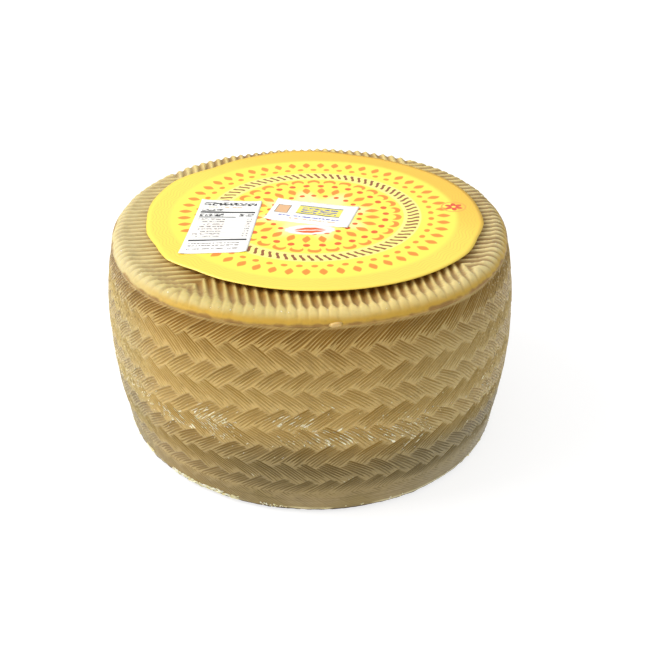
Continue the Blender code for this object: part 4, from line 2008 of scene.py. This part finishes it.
@dataclass
class TornScalesAndGlints:
    """Small scales of curd and wax that stand on the rind, thickest round the foot. The rim's and the
    band's pale ones are also painted highlights.

    The lip is the edge of the foot and the rim is the rolled one. So many scales are tried on each and
    in the band, most of them round the middle that the pairs give first, and within the spread that
    they give next. What falls on a bare stretch is left out.

    Attributes:
        lip_large: how far from the middle scales may be large, and how large at the most.
        corners: how many a scale has.
    """

    wheel: CheeseWheel
    finish: PaleCurdAndGlint = PaleCurdAndGlint()
    lip_scales: int = 520
    lip_torn: Pair = (-128.0, 16.0)
    lip_large: Pair = (22.0, 3.2)
    lip_bare: Waver = Waver(1.0, 120 * MM, 3.0)
    band_wax_glints: int = 1500
    band_row: Pair = (5.5, 0.55)
    band_bare: Waver = Waver(1.0, 200 * MM, 6.0)
    rim_glints: int = 34
    rim_glints_round: Pair = (-125.0, 30.0)
    corners: int = 8
    seed: int = 7

    def scale(self, draft: MeshDraft, middle: Point, angle: float, size: Point, lean: float,
              draw: random.Random, tan: float = 0.0) -> None:
        """Adds one scale.

        Args:
            draft: the mesh that it joins.
            middle: of the scale, on the rind.
            angle: which way the rind faces there, in radians round the wheel.
            size: its width round the wheel, its height and how far it stands out.
            lean: how far it rises over its width.
            draw: the source of its uneven outline.
            tan: how much of the tan tone it has.
        """
        out = Vector((math.cos(angle), math.sin(angle), 0.0))
        level = Vector((-math.sin(angle), math.cos(angle), 0.0))
        up = Vector((0.0, 0.0, 1.0))
        rim, crown = [], []
        for i in range(self.corners):
            turn = math.tau * i / self.corners
            reach = draw.uniform(0.7, 1.15)
            flat = level * (math.cos(turn) * size[0] / 2) + up * (math.sin(turn) * size[1] / 2)
            flat += up * (math.cos(turn) * size[0] / 2 * lean)
            rim.append(draft.point(Vector(middle) + flat * reach - out * 0.3 * MM, tan))
            raised = out * size[2] * draw.uniform(0.6, 1.0)
            crown.append(draft.point(Vector(middle) + flat * reach * 0.6 + raised, tan))
        rings = [[Station(i / self.corners, index) for i, index in enumerate(ring)] for ring in (rim, crown)]
        draft.bridge(*rings)
        for ring in rings:
            draft.face(*ring)

    def build(self) -> bpy.types.Object:
        """Builds all scales as one piece."""
        draft, draw = MeshDraft(), random.Random(self.seed)
        for count, add in ((self.lip_scales, self.lip_scale), (self.band_wax_glints, self.band_wax_glint),
                           (self.rim_glints, self.rim_glint)):
            for _ in range(count):
                add(draft, draw)
        self.chip(draft, draw)
        return settled(draft.made("torn_scales_and_glints", self.finish.material()), "rind")

    def lip_scale(self, draft: MeshDraft, draw: random.Random) -> None:
        """Adds a scale on the edge of the foot, unless it falls on a bare stretch.

        Args:
            draft: the mesh that it joins.
            draw: the source of its place and size.
        """
        angle = math.radians(draw.choice((draw.gauss(*self.lip_torn), draw.uniform(-180, 180))))
        if self.lip_bare.at((math.cos(angle), math.sin(angle), 0.0)) < -0.12:
            return
        place = self.wheel.foot_point(angle, 1.0, draw.uniform(2, 26))
        near, largest = self.lip_large
        large = draw.uniform(1.0, largest) if abs(math.degrees(angle) - self.lip_torn[0]) < near else 1.0
        tall = draw.uniform(0.3, 0.8) * large ** 0.45
        size = (draw.uniform(0.5, 2.0) * large * MM, tall * MM, draw.uniform(0.1, 0.6) * MM)
        self.scale(draft, place, angle, size, draw.uniform(-0.4, 0.4), draw)

    def band_wax_glint(self, draft: MeshDraft, draw: random.Random) -> None:
        """Adds a pale streak of raised wax along a blade in the lower rows, partly a painted highlight,
        unless it falls on a bare stretch.

        Args:
            draft: the mesh that it joins.
            draw: the source of its place and size.
        """
        angle = math.radians(draw.uniform(-180, 180))
        fall = draw.gauss(*self.band_row)
        if self.band_bare.at((math.cos(angle), math.sin(angle), fall * 0.08)) < 0.12 + 0.1 * math.sin(angle):
            return
        plait = self.wheel.plait
        turned = (angle - math.radians(plait.turn)) / math.tau * plait.bundles
        place = plait.place(int(fall), turned, fall % 1.0, 0.15 * MM)
        size = (draw.uniform(0.4, 1.7) * MM, draw.uniform(0.2, 0.4) * MM, draw.uniform(0.05, 0.25) * MM)
        self.scale(draft, place, angle, size, plait.slant(int(fall)) * draw.uniform(0.6, 0.9), draw)

    def rim_glint(self, draft: MeshDraft, draw: random.Random) -> None:
        """Adds a small pale crumb on the rolled rim, a painted highlight for the wax's glints there.

        Args:
            draft: the mesh that it joins.
            draw: the source of its place and size.
        """
        angle = math.radians(draw.choice((draw.gauss(*self.rim_glints_round), draw.uniform(-180, 180))))
        place, _ = self.wheel.rim_point(angle, 1.0, draw.uniform(50, 80))
        wide = draw.uniform(0.4, 1.3) * MM
        lowered = (place[0], place[1], place[2] - 0.1 * MM)
        self.scale(draft, lowered, angle, (wide, 0.5 * MM, 0.3 * MM), draw.uniform(-0.2, 0.2), draw)

    def chip(self, draft: MeshDraft, draw: random.Random) -> None:
        """Adds the one large scale that hangs under the rolled rim at the front.

        Args:
            draft: the mesh that it joins.
            draw: the source of its uneven outline.
        """
        angle = math.radians(-84.0)
        place = self.wheel.ledge_point(angle, 0.4 * MM, 4.0 * MM)
        self.scale(draft, place, angle, (6.4 * MM, 3.0 * MM, 0.7 * MM), 0.05, draw, 1.0)


# The studio


@dataclass(frozen=True)
class Studio:
    """The pale floor, the soft light and the camera, whose angles are in degrees."""

    wheel: WheelOutline
    lens: float = 61.31
    sensor: float = 36.0
    camera_back: float = 472.05 * MM
    camera_height: float = 314.1 * MM
    look_down: float = 30.07
    roll_left: float = 0.81
    floor_size: float = 8.0
    floor_tone: Colour = tone(160, 160, 160)
    floor_glow: float = 0.76
    key_place: Point = (-0.9, -0.02, 0.9)
    key_size: float = 0.9
    key_power: float = 13.6
    sky: float = 0.92
    horizon: float = 0.3

    def floor(self) -> None:
        """A wide white floor."""
        half = self.floor_size / 2
        corners = [(-half, -half, 0), (half, -half, 0), (half, half, 0), (-half, half, 0)]
        mesh = bpy.data.meshes.new("floor")
        mesh.from_pydata(corners, [], [(0, 1, 2, 3)])
        s = Sketch("white_floor", roughness=0.9)
        s.shader.inputs["Emission Color"].default_value = (1.0, 1.0, 1.0, 1.0)
        s.shader.inputs["Emission Strength"].default_value = self.floor_glow
        mesh.materials.append(s.finish(self.floor_tone))
        floor = bpy.data.objects.new("floor", mesh)
        bpy.context.scene.collection.objects.link(floor)
        floor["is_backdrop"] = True

    def key(self) -> None:
        """A square soft light from the left, which faces the wheel."""
        data = bpy.data.lights.new("key", "AREA")
        data.size = self.key_size
        data.energy = self.key_power
        lamp = bpy.data.objects.new("key", data)
        lamp.location = self.key_place
        target = Vector((0.0, 0.0, self.wheel.height / 2))
        lamp.rotation_euler = (target - Vector(self.key_place)).to_track_quat("-Z", "Y").to_euler()
        bpy.context.scene.collection.objects.link(lamp)

    def world(self) -> None:
        """A white surround that is brighter overhead than at the horizon."""
        world = bpy.data.worlds.new("surround")
        world.use_nodes = True
        tree = world.node_tree
        background = tree.nodes["Background"]
        coordinates = tree.nodes.new("ShaderNodeTexCoord")
        parts = tree.nodes.new("ShaderNodeSeparateXYZ")
        rise = tree.nodes.new("ShaderNodeMapRange")
        rise.inputs["To Min"].default_value = self.horizon
        rise.inputs["To Max"].default_value = self.sky
        tree.links.new(coordinates.outputs["Generated"], parts.inputs[0])
        tree.links.new(parts.outputs["Z"], rise.inputs["Value"])
        tree.links.new(rise.outputs[0], background.inputs["Strength"])
        background.inputs["Color"].default_value = (1.0, 1.0, 1.0, 1.0)
        bpy.context.scene.world = world

    def camera(self) -> None:
        """The camera at the photograph's angle."""
        data = bpy.data.cameras.new("camera")
        data.lens = self.lens
        data.sensor_width = self.sensor
        data.clip_start = 0.01
        camera = bpy.data.objects.new("camera", data)
        camera.location = (self.wheel.centre[0], self.wheel.centre[1] - self.camera_back, self.camera_height)
        camera.rotation_euler = (math.radians(90 - self.look_down), 0.0, -math.radians(self.roll_left))
        bpy.context.scene.collection.objects.link(camera)
        bpy.context.scene.camera = camera

    def build(self) -> None:
        """Sets up everything round the cheese."""
        self.floor()
        self.world()
        self.key()
        self.camera()
        view = bpy.context.scene.view_settings
        view.view_transform = "Standard"
        view.look = "None"


def write_sizes() -> None:
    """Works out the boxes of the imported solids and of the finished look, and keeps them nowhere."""
    boxes = {"cad": CAD_BOUNDS, "visual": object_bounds()}
    {name: [list(corner) for corner in box] for name, box in boxes.items()}


def main() -> None:
    """Builds the cheese with its label and stickers, then the studio."""
    logging.basicConfig(level=logging.INFO, format="%(name)s: %(message)s")
    outline = WheelOutline(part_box("cheese_wheel")[1].z)
    wheel = CheeseWheel(outline)
    wheel.build()
    label = PaperLabel(wheel)
    label.build()
    PaperSticker("facts_paper", "facts_sticker", label, StickerPrint("facts_print", table_bars()),
                 at=(-40.2 * MM, -11.0 * MM), width=29.0 * MM, height=57.6 * MM, turn=-5.2,
                 askew=6.0 * MM).build()
    PaperSticker("centre_paper", "centre_sticker", label, StickerPrint("centre_print", centre_bars()),
                 at=(0.6 * MM, 3.0 * MM), width=40.0 * MM, height=23.8 * MM, turn=-15.5).build()
    TornScalesAndGlints(wheel).build()
    Studio(outline).build()
    write_sizes()


if __name__ == "__main__":
    main()
